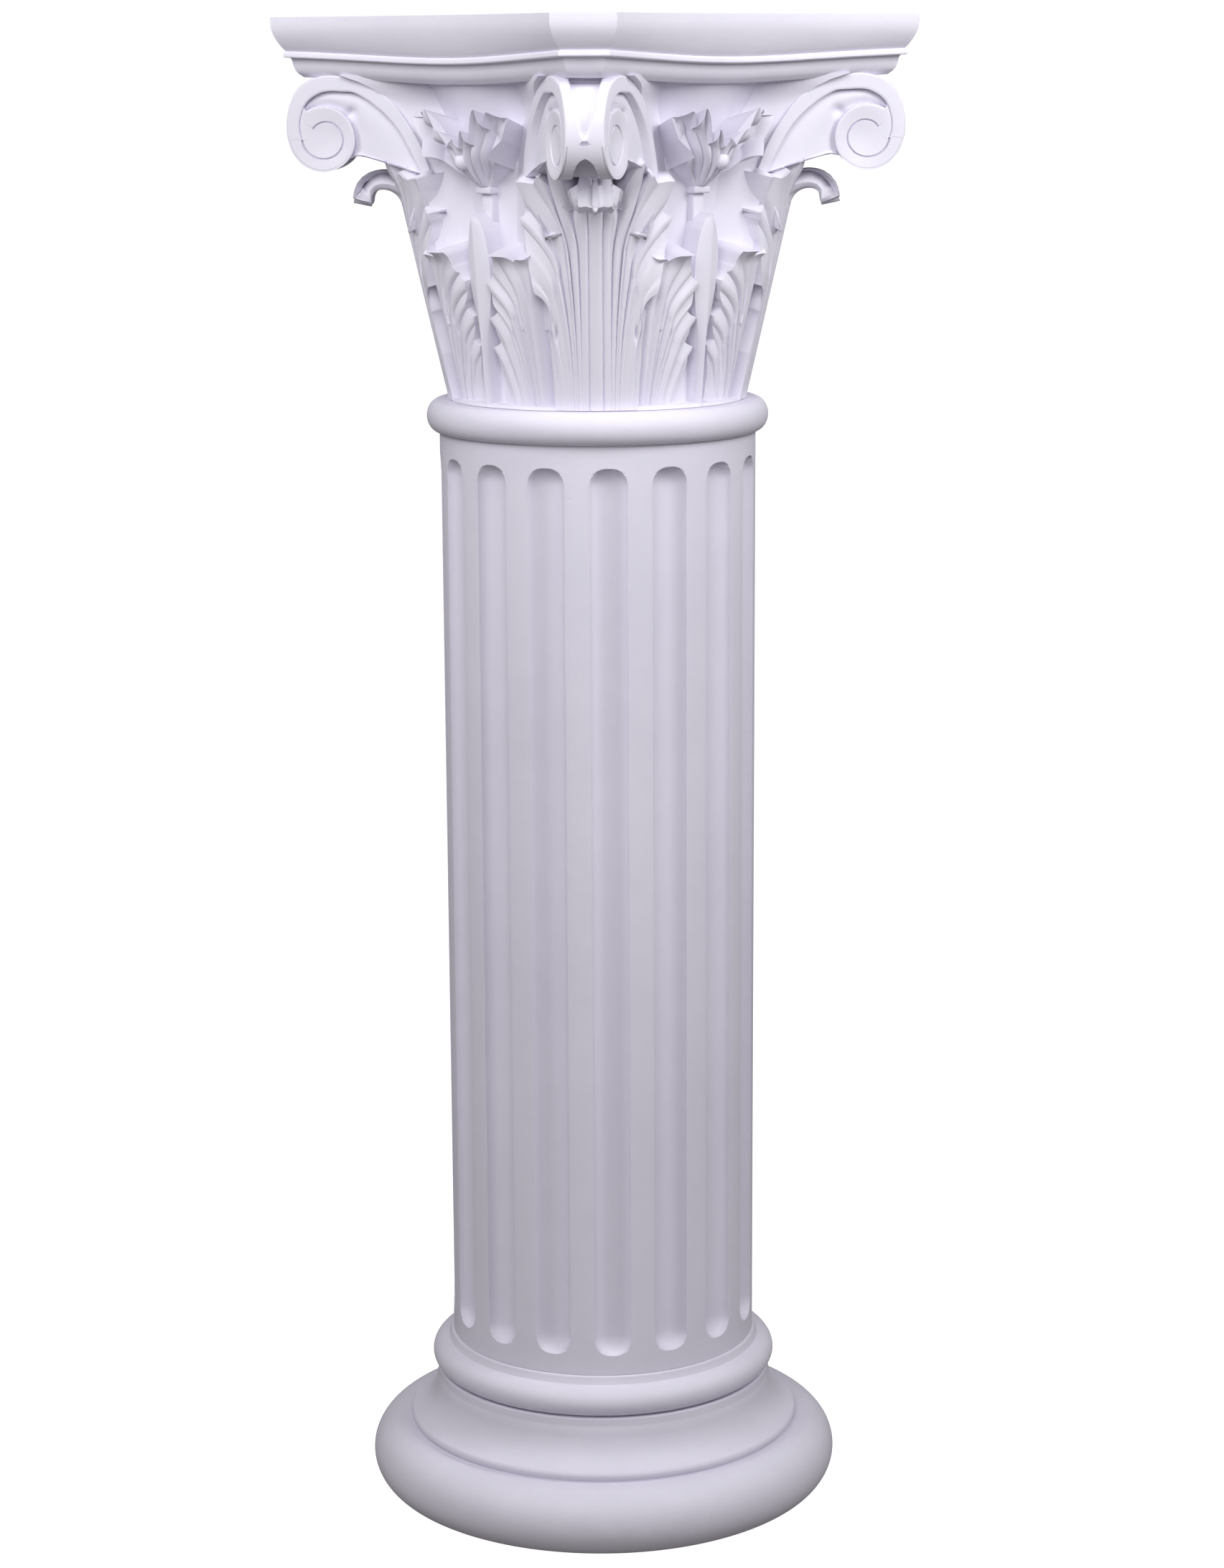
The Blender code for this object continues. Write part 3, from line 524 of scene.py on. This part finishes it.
SHEATH_LINES = [
    (0.0000, 0.0000, 0.0000, 0.0350, 0.0000, 1.0),
    (0.0008, 0.0035, 0.0062, 0.0290, 0.0050, 1.0),
    (0.0014, 0.0068, 0.0140, 0.0400, 0.0000, 1.4),
    (0.0022, 0.0108, 0.0165, 0.0320, 0.0090, 1.2),
    (0.0032, 0.0185, 0.0262, 0.0530, 0.0000, 1.2),
    (0.0038, 0.0225, 0.0300, 0.0420, 0.0090, 1.2),
    (0.0044, 0.0258, 0.0350, 0.0515, 0.0010, 1.3),
    (0.0050, 0.0305, 0.0430, 0.0480, 0.0048, 1.6),
    (0.0058, 0.0350, 0.0515, 0.0480, 0.0000, 2.0),
    (0.0064, 0.0370, 0.0450, 0.0350, 0.0016, 1.3),
    (0.0068, 0.0300, 0.0340, 0.0230, 0.0012, 1.0),
]


def mirrored(lines):
    left = [(-line[0], -line[1], -line[2], *line[3:]) for line in reversed(lines[1:])]
    return left + lines


def fan_grid(lines, per_gap, rows, place, early=2.0):
    """A leaf's face as a grid fanned out between its lines, with pointed lobes that overlap like shingles."""
    gaps = len(lines) - 1
    bm = bmesh.new()
    bmesh.ops.create_grid(bm, x_segments=gaps * per_gap, y_segments=rows, size=0.5)
    for vert in bm.verts:
        across = (vert.co.x + 0.5) * gaps
        gap = int(clamp(math.floor(across + 1e-6), 0, gaps - 1))
        t = clamp(across - gap)
        one, two = lines[gap], lines[gap + 1]
        one_is_rib = one[4] <= two[4]
        rib, cut = (one, two) if one_is_rib else (two, one)
        away = t if one_is_rib else 1 - t
        upper = abs(cut[2]) < abs(rib[2]) and cut[3] > rib[3] or abs(cut[1]) < abs(rib[1])
        if upper:
            go_in, go_down, dip = away ** 0.9, away ** 1.7, away ** 1.4
        else:
            go_in, go_down, dip = away ** 1.15, away ** 0.95, away ** 4.0
        foot = one[0] + (two[0] - one[0]) * t
        waist = one[1] + (two[1] - one[1]) * t
        late = one[5] + (two[5] - one[5]) * t
        end = rib[2] + (cut[2] - rib[2]) * go_in
        length = rib[3] + (cut[3] - rib[3]) * go_down
        depth = rib[4] + (cut[4] - rib[4]) * dip
        share = vert.co.y + 0.5
        share = 1 - (1 - share) ** 1.15
        if share <= 0.7:
            side = foot + (waist - foot) * (share / 0.7) ** early
        else:
            side = waist + (end - waist) * ((share - 0.7) / 0.3) ** late
        vert.co = place(length * share, side, depth, share)
    return bm


def bent_leaf(length, side, drop, foot_radius, straight, curl_radius):
    """A point on a leaf that leans straight up and then curls out: (reach, turn, height above the foot)."""
    tilt = math.atan(LEAF_LEAN)
    if length <= straight:
        angle = tilt
        reach = foot_radius + length * math.sin(tilt)
        height = length * math.cos(tilt)
    else:
        angle = tilt + (length - straight) / curl_radius
        reach = foot_radius + straight * math.sin(tilt) + curl_radius * (math.cos(tilt) - math.cos(angle))
        height = straight * math.cos(tilt) + curl_radius * (math.sin(angle) - math.sin(tilt))
    return reach - drop * math.cos(angle), side / reach, height + drop * math.sin(angle)


# Where the leaves start, how they lean, and how far along them the curl begins
LEAF_START = CAPITAL_FOOT + 0.0002
LEAF_LEAN = 0.228
TALL_STRAIGHT = 0.1294
LOW_STRAIGHT = 0.0910
# How far out the leaves' faces stand at the foot, and the radius at which their walls end inside the bell
TALL_FOOT_REACH = 0.0983
LOW_FOOT_REACH = 0.0930
LEAF_ROOT = 0.0860
# Each drill hole: offset from the middle, distance along the leaf, half width and half length
TALL_EYES = [(0.0140, 0.1300, 0.0015, 0.0048), (0.0256, 0.0500, 0.0010, 0.0042)]
EYE_DEPTH = 0.0024
# The shell that carries the tongue starts this high above the capital's foot
SHELL_START = 0.1120
SHELL_THICKNESS = 0.0122
# The front tall leaf stands a little to the right of its corner
FRONT_LEAF = 4
FRONT_LEAF_SKEW = 0.030


def tall_half_width(length):
    rise = min(1.0, length / 0.12)
    narrow = clamp((length - 0.150) / 0.02)
    return (0.027 + 0.023 * rise ** 1.5) * (1 - narrow) + 0.030 * narrow


def tall_place(turn, is_shell):
    """Places points of a tall leaf's face. The tongue curls more than the lobes, and is part of the shell."""
    def place(length, side, depth, share):
        off = abs(side)
        edge = clamp(off / tall_half_width(length))
        drop = 0.0085 * edge ** 2.2 * (0.10 + 0.90 * ease((length - 0.078) / 0.040))
        if is_shell:
            # Only the tongue lies in front of the body
            drop += 0.0006 * (1 - ease((length - 0.126) / 0.006) * (1 - ease((off - 0.017) / 0.003)))
        elif off < 0.0195:
            length = min(length, 0.1300)
        on_tongue = ease((length - 0.134) / 0.010) * (1 - ease((off - 0.012) / 0.006))
        at_foot = 0.8 if off < 0.0055 else 0.15
        drop += depth * (at_foot + (1 - at_foot) * ease((share - 0.10) * 1.5)) * (1 - 0.6 * on_tongue)
        for eye_side, eye_length, eye_width, eye_height in TALL_EYES:
            near = ((off - eye_side) / eye_width) ** 2 + ((length - eye_length) / eye_height) ** 2
            drop += EYE_DEPTH * math.exp(-near)
        curl = 0.0122 + 0.0400 * ease((off - 0.0120) / 0.0180)
        drop -= 0.0040 * ease((length - 0.150) / 0.010) * (1 - ease((off - 0.012) / 0.008))
        reach, aside, height = bent_leaf(length, side, drop, TALL_FOOT_REACH, TALL_STRAIGHT, curl)
        return polar(reach, turn + aside, LEAF_START + height)
    return place


def make_tall_leaf(number, turn):
    lines = mirrored(TALL_LINES)
    placed = turn + (FRONT_LEAF_SKEW if number == FRONT_LEAF else 0.0)
    bm = fan_grid(lines, 5, 84, tall_place(placed, True))
    low = [vert for vert in bm.verts if vert.co.z < CAPITAL_FOOT + SHELL_START]
    bmesh.ops.delete(bm, geom=low, context='VERTS')
    piece = finish_capital_piece(f"tall_leaf_{number}", bm)
    outward = Vector((math.cos(turn), math.sin(turn), 0.0))
    faces_out = sum(face.normal.dot(outward) * face.area for face in piece.data.polygons
                    if face.center.z < CAPITAL_FOOT + SHELL_START + 0.013)
    wall = piece.modifiers.new("leaf_thickness", 'SOLIDIFY')
    wall.thickness = SHELL_THICKNESS
    wall.offset = -1.0 if faces_out > 0 else 1.0
    wall.use_even_offset = False
    body = walled(fan_grid(lines, 5, 90, tall_place(placed, False)), LEAF_ROOT, 0.22)
    finish_capital_piece(f"tall_leaf_body_{number}", body)


def walled(bm, inner_radius, rise):
    """Carries a leaf's edge back into the bell, rising or falling on the way, and closes it there."""
    rim = [edge for edge in bm.edges if edge.is_boundary]
    grown = bmesh.ops.extrude_edge_only(bm, edges=rim)["geom"]
    for vert in (item for item in grown if isinstance(item, bmesh.types.BMVert)):
        aside = math.atan2(vert.co.y, vert.co.x)
        back = math.hypot(vert.co.x, vert.co.y) - inner_radius
        rises = rise * clamp((vert.co.z - LEAF_START) / 0.03)
        vert.co = polar(inner_radius, aside, vert.co.z + rises * back)
    back = [item for item in grown if isinstance(item, bmesh.types.BMEdge)]
    middle = sum((vert.co for edge in back for vert in edge.verts), Vector()) / (2 * len(back))
    hub = bm.verts.new(middle)
    for edge in back:
        if edge.is_boundary:
            bm.faces.new((*edge.verts, hub))
    return bm


def make_low_leaf(turn, outward):
    def place(length, side, depth, share):
        edge = clamp(abs(side) / (0.027 + 0.005 * clamp(length / 0.03)))
        drop = 0.005 * edge ** 2.5 + depth * (0.4 + 0.6 * ease(share * 1.5))
        drop += 0.0065 * ease((-0.001 - side) / 0.014)
        reach, aside, height = bent_leaf(length, side, drop, LOW_FOOT_REACH, LOW_STRAIGHT, 0.0100)
        return polar(reach, turn + outward * aside, LEAF_START + height)

    return walled(fan_grid(LOW_LINES, 5, 60, place, early=1.6), 0.0862, 0.24)


def make_low_leaves():
    bm = bmesh.new()
    for turn in CORNER_TURNS:
        for outward in (-1, 1):
            join_into(bm, make_low_leaf(turn + outward * math.radians(22.5), outward))
    finish_capital_piece("low_leaves", bm)


SLIM_LENGTH = 0.1225
SLIM_HALF_WIDTH = 0.0098


def make_slim_leaves():
    bm = bmesh.new()
    for turn in SIDE_TURNS:
        blade = bmesh.new()
        bmesh.ops.create_grid(blade, x_segments=16, y_segments=40, size=0.5)
        for vert in blade.verts:
            across, share = vert.co.x * 2, vert.co.y + 0.5
            up = SLIM_LENGTH * share
            half = SLIM_HALF_WIDTH * math.sqrt(max(0.0, 1 - clamp((share - 0.74) / 0.26) ** 1.6)) + 0.0002
            half *= 0.25 + 0.75 * ease((share - 0.25) / 0.45)
            reach = 0.0948 + 0.094 * up + 0.0028 * (1 - abs(across)) - 0.001 * abs(across) ** 3
            vert.co = corner_frame(turn, reach, across * half, LEAF_START + up)
        join_into(bm, walled(blade, 0.0855, 0.10))
    finish_capital_piece("slim_leaves", bm)


SHEATH_FOOT = CAPITAL_FOOT + 0.139


def sheath_place(turn):
    """Places points of a palmette's face: a round cup whose blades hook outwards, most at its sides."""
    def place(length, side, depth, share):
        rise = math.sin(QUARTER * clamp(length / 0.026))
        edge = clamp(abs(side) / (0.0068 + 0.0360 * ease(share / 0.75)))
        hook = clamp((share - 0.55) / 0.45) ** 1.8
        reach = 0.0965 + 0.0235 * rise ** 0.7 * (1 - 0.74 * edge ** 2.5)
        reach += (0.004 + 0.019 * clamp(abs(side) / 0.05)) * hook
        reach -= depth * ease(share * 2.5) * (1 - 0.4 * hook)
        return polar(reach, turn + side / 0.140, SHEATH_FOOT + length - 0.0035 * hook ** 2)
    return place


def soft_block(turn, middle, half_sizes, rounding):
    """A block with rounded edges. Its middle is given outwards and up, its half sizes also sideways."""
    reach, height = middle
    deep, wide, tall = half_sizes
    block = bmesh.new()
    bmesh.ops.create_cube(block, size=2.0)
    for vert in block.verts:
        vert.co = corner_frame(turn, reach + deep * vert.co.x, wide * vert.co.y, height + tall * vert.co.z)
    bmesh.ops.bevel(block, geom=block.edges[:], offset=rounding, offset_type='OFFSET', affect='EDGES',
                    segments=3, profile=0.5, material=-1)
    return block


def make_sheaths():
    bm = bmesh.new()
    for turn in SIDE_TURNS:
        cup = fan_grid(mirrored(SHEATH_LINES), 8, 56, sheath_place(turn), early=1.0)
        join_into(bm, walled(cup, 0.0850, -0.25))
        bead = bmesh.new()
        bmesh.ops.create_uvsphere(bead, u_segments=24, v_segments=16, radius=1.0)
        for vert in bead.verts:
            vert.co = corner_frame(turn, 0.1155 + 0.0052 * vert.co.x, 0.0048 * vert.co.y,
                                   CAPITAL_FOOT + 0.1560 + 0.0055 * vert.co.z)
        join_into(bm, bead)
        # The collar under the cup, and the stem under the collar
        join_into(bm, soft_block(turn, (0.0915, CAPITAL_FOOT + 0.1375), (0.0075, 0.0070, 0.0022), 0.0012))
        join_into(bm, soft_block(turn, (0.0900, CAPITAL_FOOT + 0.1270), (0.0055, 0.0050, 0.0100), 0.0015))
    finish_capital_piece("side_sheaths", bm)


# The spiral's centre: how far out and how high
SPIRAL_REACH = 0.1763
SPIRAL_HEIGHT = 0.9223
# Angles round the scroll's centre, in degrees: 90 is up, 0 is the front, and the band unwinds clockwise
SCROLL_OUTLINE = [
    (-180.0, 0.0221), (-157.5, 0.0214), (-135.0, 0.0210), (-112.5, 0.0207), (-90.0, 0.0207),
    (-60.0, 0.0210), (-30.0, 0.0219), (0.0, 0.0236), (22.5, 0.0262), (45.0, 0.0310),
    (67.5, 0.0372), (90.0, 0.0404),
]
RIM_INSIDE = [(0.0, 0.0140), (22.5, 0.0166), (45.0, 0.0205), (67.5, 0.0258), (90.0, 0.0299)]
INNER_LINE = [
    (-315.0, 0.0094), (-270.0, 0.0110), (-225.0, 0.0124), (-180.0, 0.0135), (-135.0, 0.0130),
    (-90.0, 0.0125), (-45.0, 0.0130), (0.0, 0.0140),
]
# The stem that carries the scroll and the web under it, in the corner's plane: how far out and how high
STEM_OUTSIDE = [
    (0.1763, 0.9627), (0.1560, 0.9610), (0.1440, 0.9570), (0.1368, 0.9522), (0.1272, 0.9438),
    (0.1205, 0.9345), (0.1128, 0.9223), (0.1071, 0.9091), (0.1034, 0.8985),
]
STEM_INSIDE = [
    (0.1763, 0.9522), (0.1638, 0.9527), (0.1561, 0.9522), (0.1465, 0.9475), (0.1368, 0.9400),
    (0.1272, 0.9298), (0.1205, 0.9186), (0.1147, 0.9072), (0.1113, 0.9005),
]
WEB_UNDERSIDE = [
    (0.1034, 0.8985), (0.1110, 0.9003), (0.1243, 0.9044), (0.1386, 0.9089), (0.1483, 0.9112),
    (0.1541, 0.9115), (0.1578, 0.9107),
]
# The stem below the web: height, and how far out its front lies
STEM_FRONT = [
    (0.8050, 0.0950), (0.8300, 0.0990), (0.8560, 0.1025), (0.8753, 0.1050), (0.8890, 0.1078),
    (0.9030, 0.1115),
]
# The bell's corner above and behind the stem: height, and how far out it reaches
CORNER_FRONT = [
    (0.8000, 0.0880), (0.8300, 0.0915), (0.8560, 0.0955), (0.8753, 0.0985), (0.8950, 0.1035),
    (0.9091, 0.1085), (0.9223, 0.1145), (0.9345, 0.1225), (0.9438, 0.1295), (0.9522, 0.1390),
    (0.9575, 0.1470), (0.9632, 0.1640),
]
CHANNEL_DEPTH = 0.0052
SPIRAL_DEPTH = 0.0020
RIM_ROUNDING = 0.0010


def as_polar(points):
    """Points in the corner's plane as (angle, distance) from the scroll's centre, in rising angle."""
    table = []
    for reach, height in points:
        dx, dz = reach - SPIRAL_REACH, height - SPIRAL_HEIGHT
        table.append((math.degrees(math.atan2(dz, dx)) % 360, math.hypot(dx, dz)))
    return sorted(table)


STEM_OUT_POLAR = as_polar(STEM_OUTSIDE)
STEM_IN_POLAR = as_polar(STEM_INSIDE)
WEB_POLAR = as_polar(WEB_UNDERSIDE)
WEB_START = WEB_POLAR[0][0]
WEB_END = WEB_POLAR[-1][0]


def outline_distance(angle):
    """Distance from the scroll's centre to the bracket's edge. angle is 90 at the top and runs up to 450."""
    if angle <= 90 or angle >= 90 + 360 - 1e-9:
        return smooth_between(SCROLL_OUTLINE, 90)
    if angle <= WEB_START:
        return smooth_between(STEM_OUT_POLAR, angle)
    if angle <= WEB_END:
        return smooth_between(WEB_POLAR, angle)
    return smooth_between(SCROLL_OUTLINE, angle - 360)


def side_half_width(reach):
    """Half the thickness of a scroll pair over its rims, which grows towards the bell."""
    inward = 0.2 - reach
    return 0.0117 + 0.36 * inward - 0.40 * inward ** 2


def disc_half_width(reach):
    """Half the thickness of a scroll pair over its two discs."""
    return 0.0117 + 0.22 * (0.2 - reach)


def sunk_edge(angle):
    """How far the bracket's edge lies below its rim: only under the web, which has no rim."""
    if WEB_START < angle < WEB_END:
        return 0.0042 * ease((angle - WEB_START) / 5) * (1 - ease((angle - WEB_END + 3) / 3))
    return 0.0


def scroll_sections(angle):
    """How far out the spiral groove, the disc's edge, the rim's inner edge and the outer edge lie."""
    outer = outline_distance(angle)
    below = angle - 360
    if angle >= 360 or angle <= 90:
        turned = below if angle >= 360 else angle
        front = smooth_between(RIM_INSIDE, turned)
        groove = smooth_between(INNER_LINE, turned - 360) if turned > 45 else None
        disc = 0.0216 if turned > 60 else front
        if turned <= 45:
            return groove, front, front, outer
        return groove, min(disc, front), front, outer
    if angle <= WEB_START:
        rim = min(smooth_between(STEM_IN_POLAR, angle), outer - 0.001)
        groove = smooth_between(INNER_LINE, below)
        return groove, 0.0218, rim, outer
    groove = smooth_between(INNER_LINE, below)
    if angle <= WEB_END:
        return groove, min(0.0218, outer - 0.0004), outer, outer
    return groove, outer, outer, outer


def make_scroll_side(turn, hand):
    """One face of a corner's scroll pair, as rays from the spiral's centre."""
    rays, rows = 300, 54
    bm = bmesh.new()
    bmesh.ops.create_grid(bm, x_segments=rays, y_segments=rows, size=0.5)
    for vert in bm.verts:
        ray = (vert.co.x + 0.5) * rays
        row = round((vert.co.y + 0.5) * rows)
        angle = 90 + 360 * ray / rays
        groove, disc, rim, outer = scroll_sections(angle)
        has_channel = rim - disc > 0.0006
        # Rows: eye, groove, disc, step down, channel, step up, rim, rounded edge
        cut = groove if groove is not None else disc * 0.7
        if row <= 14:
            distance, part = (cut - 0.0008) * row / 14, "disc"
        elif row == 15:
            distance, part = cut, "groove"
        elif row <= 24:
            start = cut + 0.0008
            distance, part = start + (disc - 0.0012 - start) * (row - 16) / 8, "disc"
        elif row == 25:
            distance, part = disc - 0.0004, "edge"
        elif row <= 36:
            share = (row - 26) / 10
            distance = disc + (rim - disc) * share
            part = "channel"
        elif row == 37:
            distance, part = rim + 0.0004, "edge"
        elif row <= 50:
            start = rim + 0.0012
            distance = start + (outer - 0.0012 - start) * (row - 38) / 12
            part = "rim"
        else:
            distance = outer - 0.0012 + 0.0012 * (row - 50) / 4
            part = "brink"
        distance = clamp(distance, 0.0, outer)
        radians = math.radians(angle)
        reach = SPIRAL_REACH + distance * math.cos(radians)
        height = SPIRAL_HEIGHT + distance * math.sin(radians)
        flat = disc_half_width(reach)
        wide = side_half_width(reach)
        lift = ease(distance / 0.0300)
        half = flat + (wide - flat) * lift
        if part == "groove" and groove is not None:
            half -= SPIRAL_DEPTH
        elif part == "channel":
            half -= CHANNEL_DEPTH * (1 - 0.35 * math.sin(math.pi * share)) if has_channel else 0.0016
            # The drill hole between the disc and the stem
            near = ((reach - 0.1570) / 0.0035) ** 2 + ((height - 0.9390) / 0.0035) ** 2
            half -= 0.0035 * math.exp(-near)
        elif part == "edge":
            half -= 0.0005
        elif part == "brink":
            half -= RIM_ROUNDING * (1 - math.sqrt(max(0.0, 1 - ((row - 50) / 4) ** 2)))
        if row >= 37:
            half -= sunk_edge(angle)
        vert.co = corner_frame(turn, reach, hand * half, height)
    return bm


# Half widths by height, on the front of a scroll pair: the dart between the bands, and the arch under them
DART_HALF = [(0.926, 0.0022), (0.935, 0.0042), (0.960, 0.0098), (0.966, 0.0110)]
ARCH_HALF = [(0.898, 0.0098), (0.905, 0.0072), (0.910, 0.0052), (0.9125, 0.0032), (0.9142, 0.0)]
DART_FOOT = DART_HALF[0][0]
ARCH_TOP = ARCH_HALF[-1][0]


def front_depth(angle, side, height):
    """How deep the front of a scroll pair is cut at a place: the dart, the dimple and the arched gap."""
    depth = 0.0
    if angle >= 360 or angle <= 90:
        if height > DART_FOOT:
            inside = between(DART_HALF, height) - abs(side)
            depth = 0.0036 * clamp(inside / 0.0016) * clamp((height - DART_FOOT) / 0.006)
        dimple = math.hypot(side, height - 0.9215) / 0.0033
        if dimple < 1:
            depth = max(depth, 0.0030 * (1 - dimple ** 4))
    if 250 < angle < 370 and height < ARCH_TOP:
        depth = max(depth, 0.0150 * clamp((between(ARCH_HALF, height) - abs(side)) / 0.0012))
    return depth


def make_scroll_front(turn):
    """The ribbon between the two faces, all the way round the bracket."""
    rays, rows = 300, 44
    bm = bmesh.new()
    bmesh.ops.create_grid(bm, x_segments=rays, y_segments=rows, size=0.5)
    for vert in bm.verts:
        ray = (vert.co.x + 0.5) * rays
        row = round((vert.co.y + 0.5) * rows)
        angle = 90 + 360 * ray / rays
        outer = outline_distance(angle)
        radians = math.radians(angle)
        reach = SPIRAL_REACH + outer * math.cos(radians)
        height = SPIRAL_HEIGHT + outer * math.sin(radians)
        flat = disc_half_width(reach)
        half = flat + (side_half_width(reach) - flat) * ease(outer / 0.0300) - RIM_ROUNDING - sunk_edge(angle)
        side = half * (row / rows * 2 - 1)
        depth = front_depth(angle, side, height) if 0 < row < rows else 0.0
        distance = outer - min(depth, outer * 0.8)
        reach = SPIRAL_REACH + distance * math.cos(radians)
        height = SPIRAL_HEIGHT + distance * math.sin(radians)
        vert.co = corner_frame(turn, reach, side, height)
    return bm


def upright_mass(turn, fronts, inner, half_at, splay):
    """An upright mass whose front follows a table by height, its sides running back into the bell."""
    around, rows = 48, 40
    bm = bmesh.new()
    bmesh.ops.create_grid(bm, x_segments=around, y_segments=rows, size=0.5)
    low, high = fronts[0][0], fronts[-1][0]
    for vert in bm.verts:
        height = low + (high - low) * (vert.co.y + 0.5)
        front = smooth_between(fronts, height)
        half = half_at(front, height)
        wide = half + splay * (front - inner)
        corners = [(front, -half), (front, half), (inner, wide), (inner, -wide), (front, -half)]
        spot = (vert.co.x + 0.5) * 4
        face = int(clamp(math.floor(spot), 0, 3))
        (reach0, side0), (reach1, side1) = corners[face:face + 2]
        reach = reach0 + (reach1 - reach0) * (spot - face)
        side = side0 + (side1 - side0) * (spot - face)
        vert.co = corner_frame(turn, reach, side, height)
    bmesh.ops.remove_doubles(bm, verts=bm.verts[:], dist=0.00005)
    bmesh.ops.holes_fill(bm, edges=bm.edges[:], sides=0)
    return bm


def make_corner_mass(turn):
    """The stem below the web, and the bell's flared corner behind it up to the abacus."""
    def stem_half(front, height):
        return side_half_width(front) - RIM_ROUNDING

    def corner_half(front, height):
        return side_half_width(front) - 0.0030 + 0.0080 * ease((height - 0.935) / 0.028) ** 2

    bm = upright_mass(turn, STEM_FRONT, 0.0830, stem_half, 0.0)
    join_into(bm, upright_mass(turn, CORNER_FRONT, 0.0760, corner_half, 0.30))
    return bm


def make_scrolls(number, turn):
    bm = bmesh.new()
    join_into(bm, make_scroll_side(turn, 1))
    join_into(bm, make_scroll_side(turn, -1))
    join_into(bm, make_scroll_front(turn))
    bmesh.ops.remove_doubles(bm, verts=bm.verts[:], dist=0.00005)
    join_into(bm, make_corner_mass(turn))
    finish_capital_piece(f"scroll_pair_{number}", bm, 45)


def make_capital():
    core = bmesh.new()
    make_bell(core)
    make_abacus(core)
    finish_capital_piece("bell_and_abacus", core, 35)
    for number, turn in enumerate(CORNER_TURNS, 1):
        make_tall_leaf(number, turn)
        make_scrolls(number, turn)
    make_low_leaves()
    make_slim_leaves()
    make_sheaths()


def make_floor():
    bm = bmesh.new()
    bmesh.ops.create_grid(bm, x_segments=1, y_segments=1, size=60)
    mesh = bpy.data.meshes.new("pale_floor")
    bm.to_mesh(mesh)
    bm.free()
    floor = bpy.data.objects.new("pale_floor", mesh)
    floor.location = (0, 0, -0.0005)
    bpy.context.scene.collection.objects.link(floor)
    material = bpy.data.materials.new("pale_floor")
    material.use_nodes = True
    shader = material.node_tree.nodes["Principled BSDF"]
    shader.inputs["Base Color"].default_value = (0.31, 0.30, 0.29, 1)
    shader.inputs["Roughness"].default_value = 0.9
    shader.inputs["Emission Color"].default_value = (1, 1, 1, 1)
    seen = material.node_tree.nodes.new("ShaderNodeLightPath")
    level = material.node_tree.nodes.new("ShaderNodeMapRange")
    level.inputs["To Min"].default_value = 0.0
    level.inputs["To Max"].default_value = 1.0
    material.node_tree.links.new(seen.outputs["Is Camera Ray"], level.inputs["Value"])
    material.node_tree.links.new(level.outputs["Result"], shader.inputs["Emission Strength"])
    mesh.materials.append(material)


LIGHT_TARGET = Vector((0.0, 0.0, 1.0))


def make_light(name, place, size, power):
    data = bpy.data.lights.new(name, 'AREA')
    data.shape = 'SQUARE'
    data.size = size
    data.energy = power
    lamp = bpy.data.objects.new(name, data)
    lamp.location = place
    lamp.rotation_euler = (LIGHT_TARGET - Vector(place)).to_track_quat('-Z', 'Y').to_euler()
    bpy.context.scene.collection.objects.link(lamp)


# The camera, as it was fitted to the photograph
VIEW_TURN = math.radians(-43.065)
CAMERA_DISTANCE = 2.3629
CAMERA_HEIGHT = 0.9778
CAMERA_TILT = math.radians(11.605)
CAMERA_ROLL = math.radians(0.31)
CAMERA_PAN = math.radians(0.20)


def make_room():
    world = bpy.data.worlds.new("studio")
    world.use_nodes = True
    nodes, links = world.node_tree.nodes, world.node_tree.links
    background = nodes["Background"]
    background.inputs["Color"].default_value = (1.0, 1.0, 1.0, 1)
    seen = nodes.new("ShaderNodeLightPath")
    level = nodes.new("ShaderNodeMapRange")
    level.inputs["To Min"].default_value = 0.21
    level.inputs["To Max"].default_value = 1.0
    links.new(seen.outputs["Is Camera Ray"], level.inputs["Value"])
    links.new(level.outputs["Result"], background.inputs["Strength"])
    bpy.context.scene.world = world
    bpy.context.scene.view_settings.view_transform = 'Standard'

    def at(bearing, distance, height):
        turn = VIEW_TURN + math.radians(bearing)
        return (distance * math.cos(turn), distance * math.sin(turn), height)

    make_light("key_light", at(-8, 1.20, 1.50), 0.9, 10.5)
    make_light("left_light", at(-60, 1.25, 1.55), 0.7, 8.2)
    make_light("right_light", at(58, 1.25, 1.55), 0.7, 13)


def make_camera():
    data = bpy.data.cameras.new("photo_camera")
    data.sensor_fit = 'AUTO'
    data.sensor_width = 36.0
    data.lens = 81.98
    data.clip_start = 0.05
    data.clip_end = 100.0
    camera = bpy.data.objects.new("photo_camera", data)
    bpy.context.scene.collection.objects.link(camera)
    ahead = VIEW_TURN + math.pi - CAMERA_PAN
    forward = Vector((math.cos(ahead) * math.cos(CAMERA_TILT), math.sin(ahead) * math.cos(CAMERA_TILT),
                      -math.sin(CAMERA_TILT)))
    turn = forward.to_track_quat('-Z', 'Y').to_matrix().to_4x4()
    turn = Matrix.Rotation(CAMERA_ROLL, 4, forward) @ turn
    turn.translation = polar(CAMERA_DISTANCE, VIEW_TURN, CAMERA_HEIGHT)
    camera.matrix_world = turn
    bpy.context.scene.camera = camera


make_base()
make_shaft()
make_capital()
make_floor()
make_room()
make_camera()
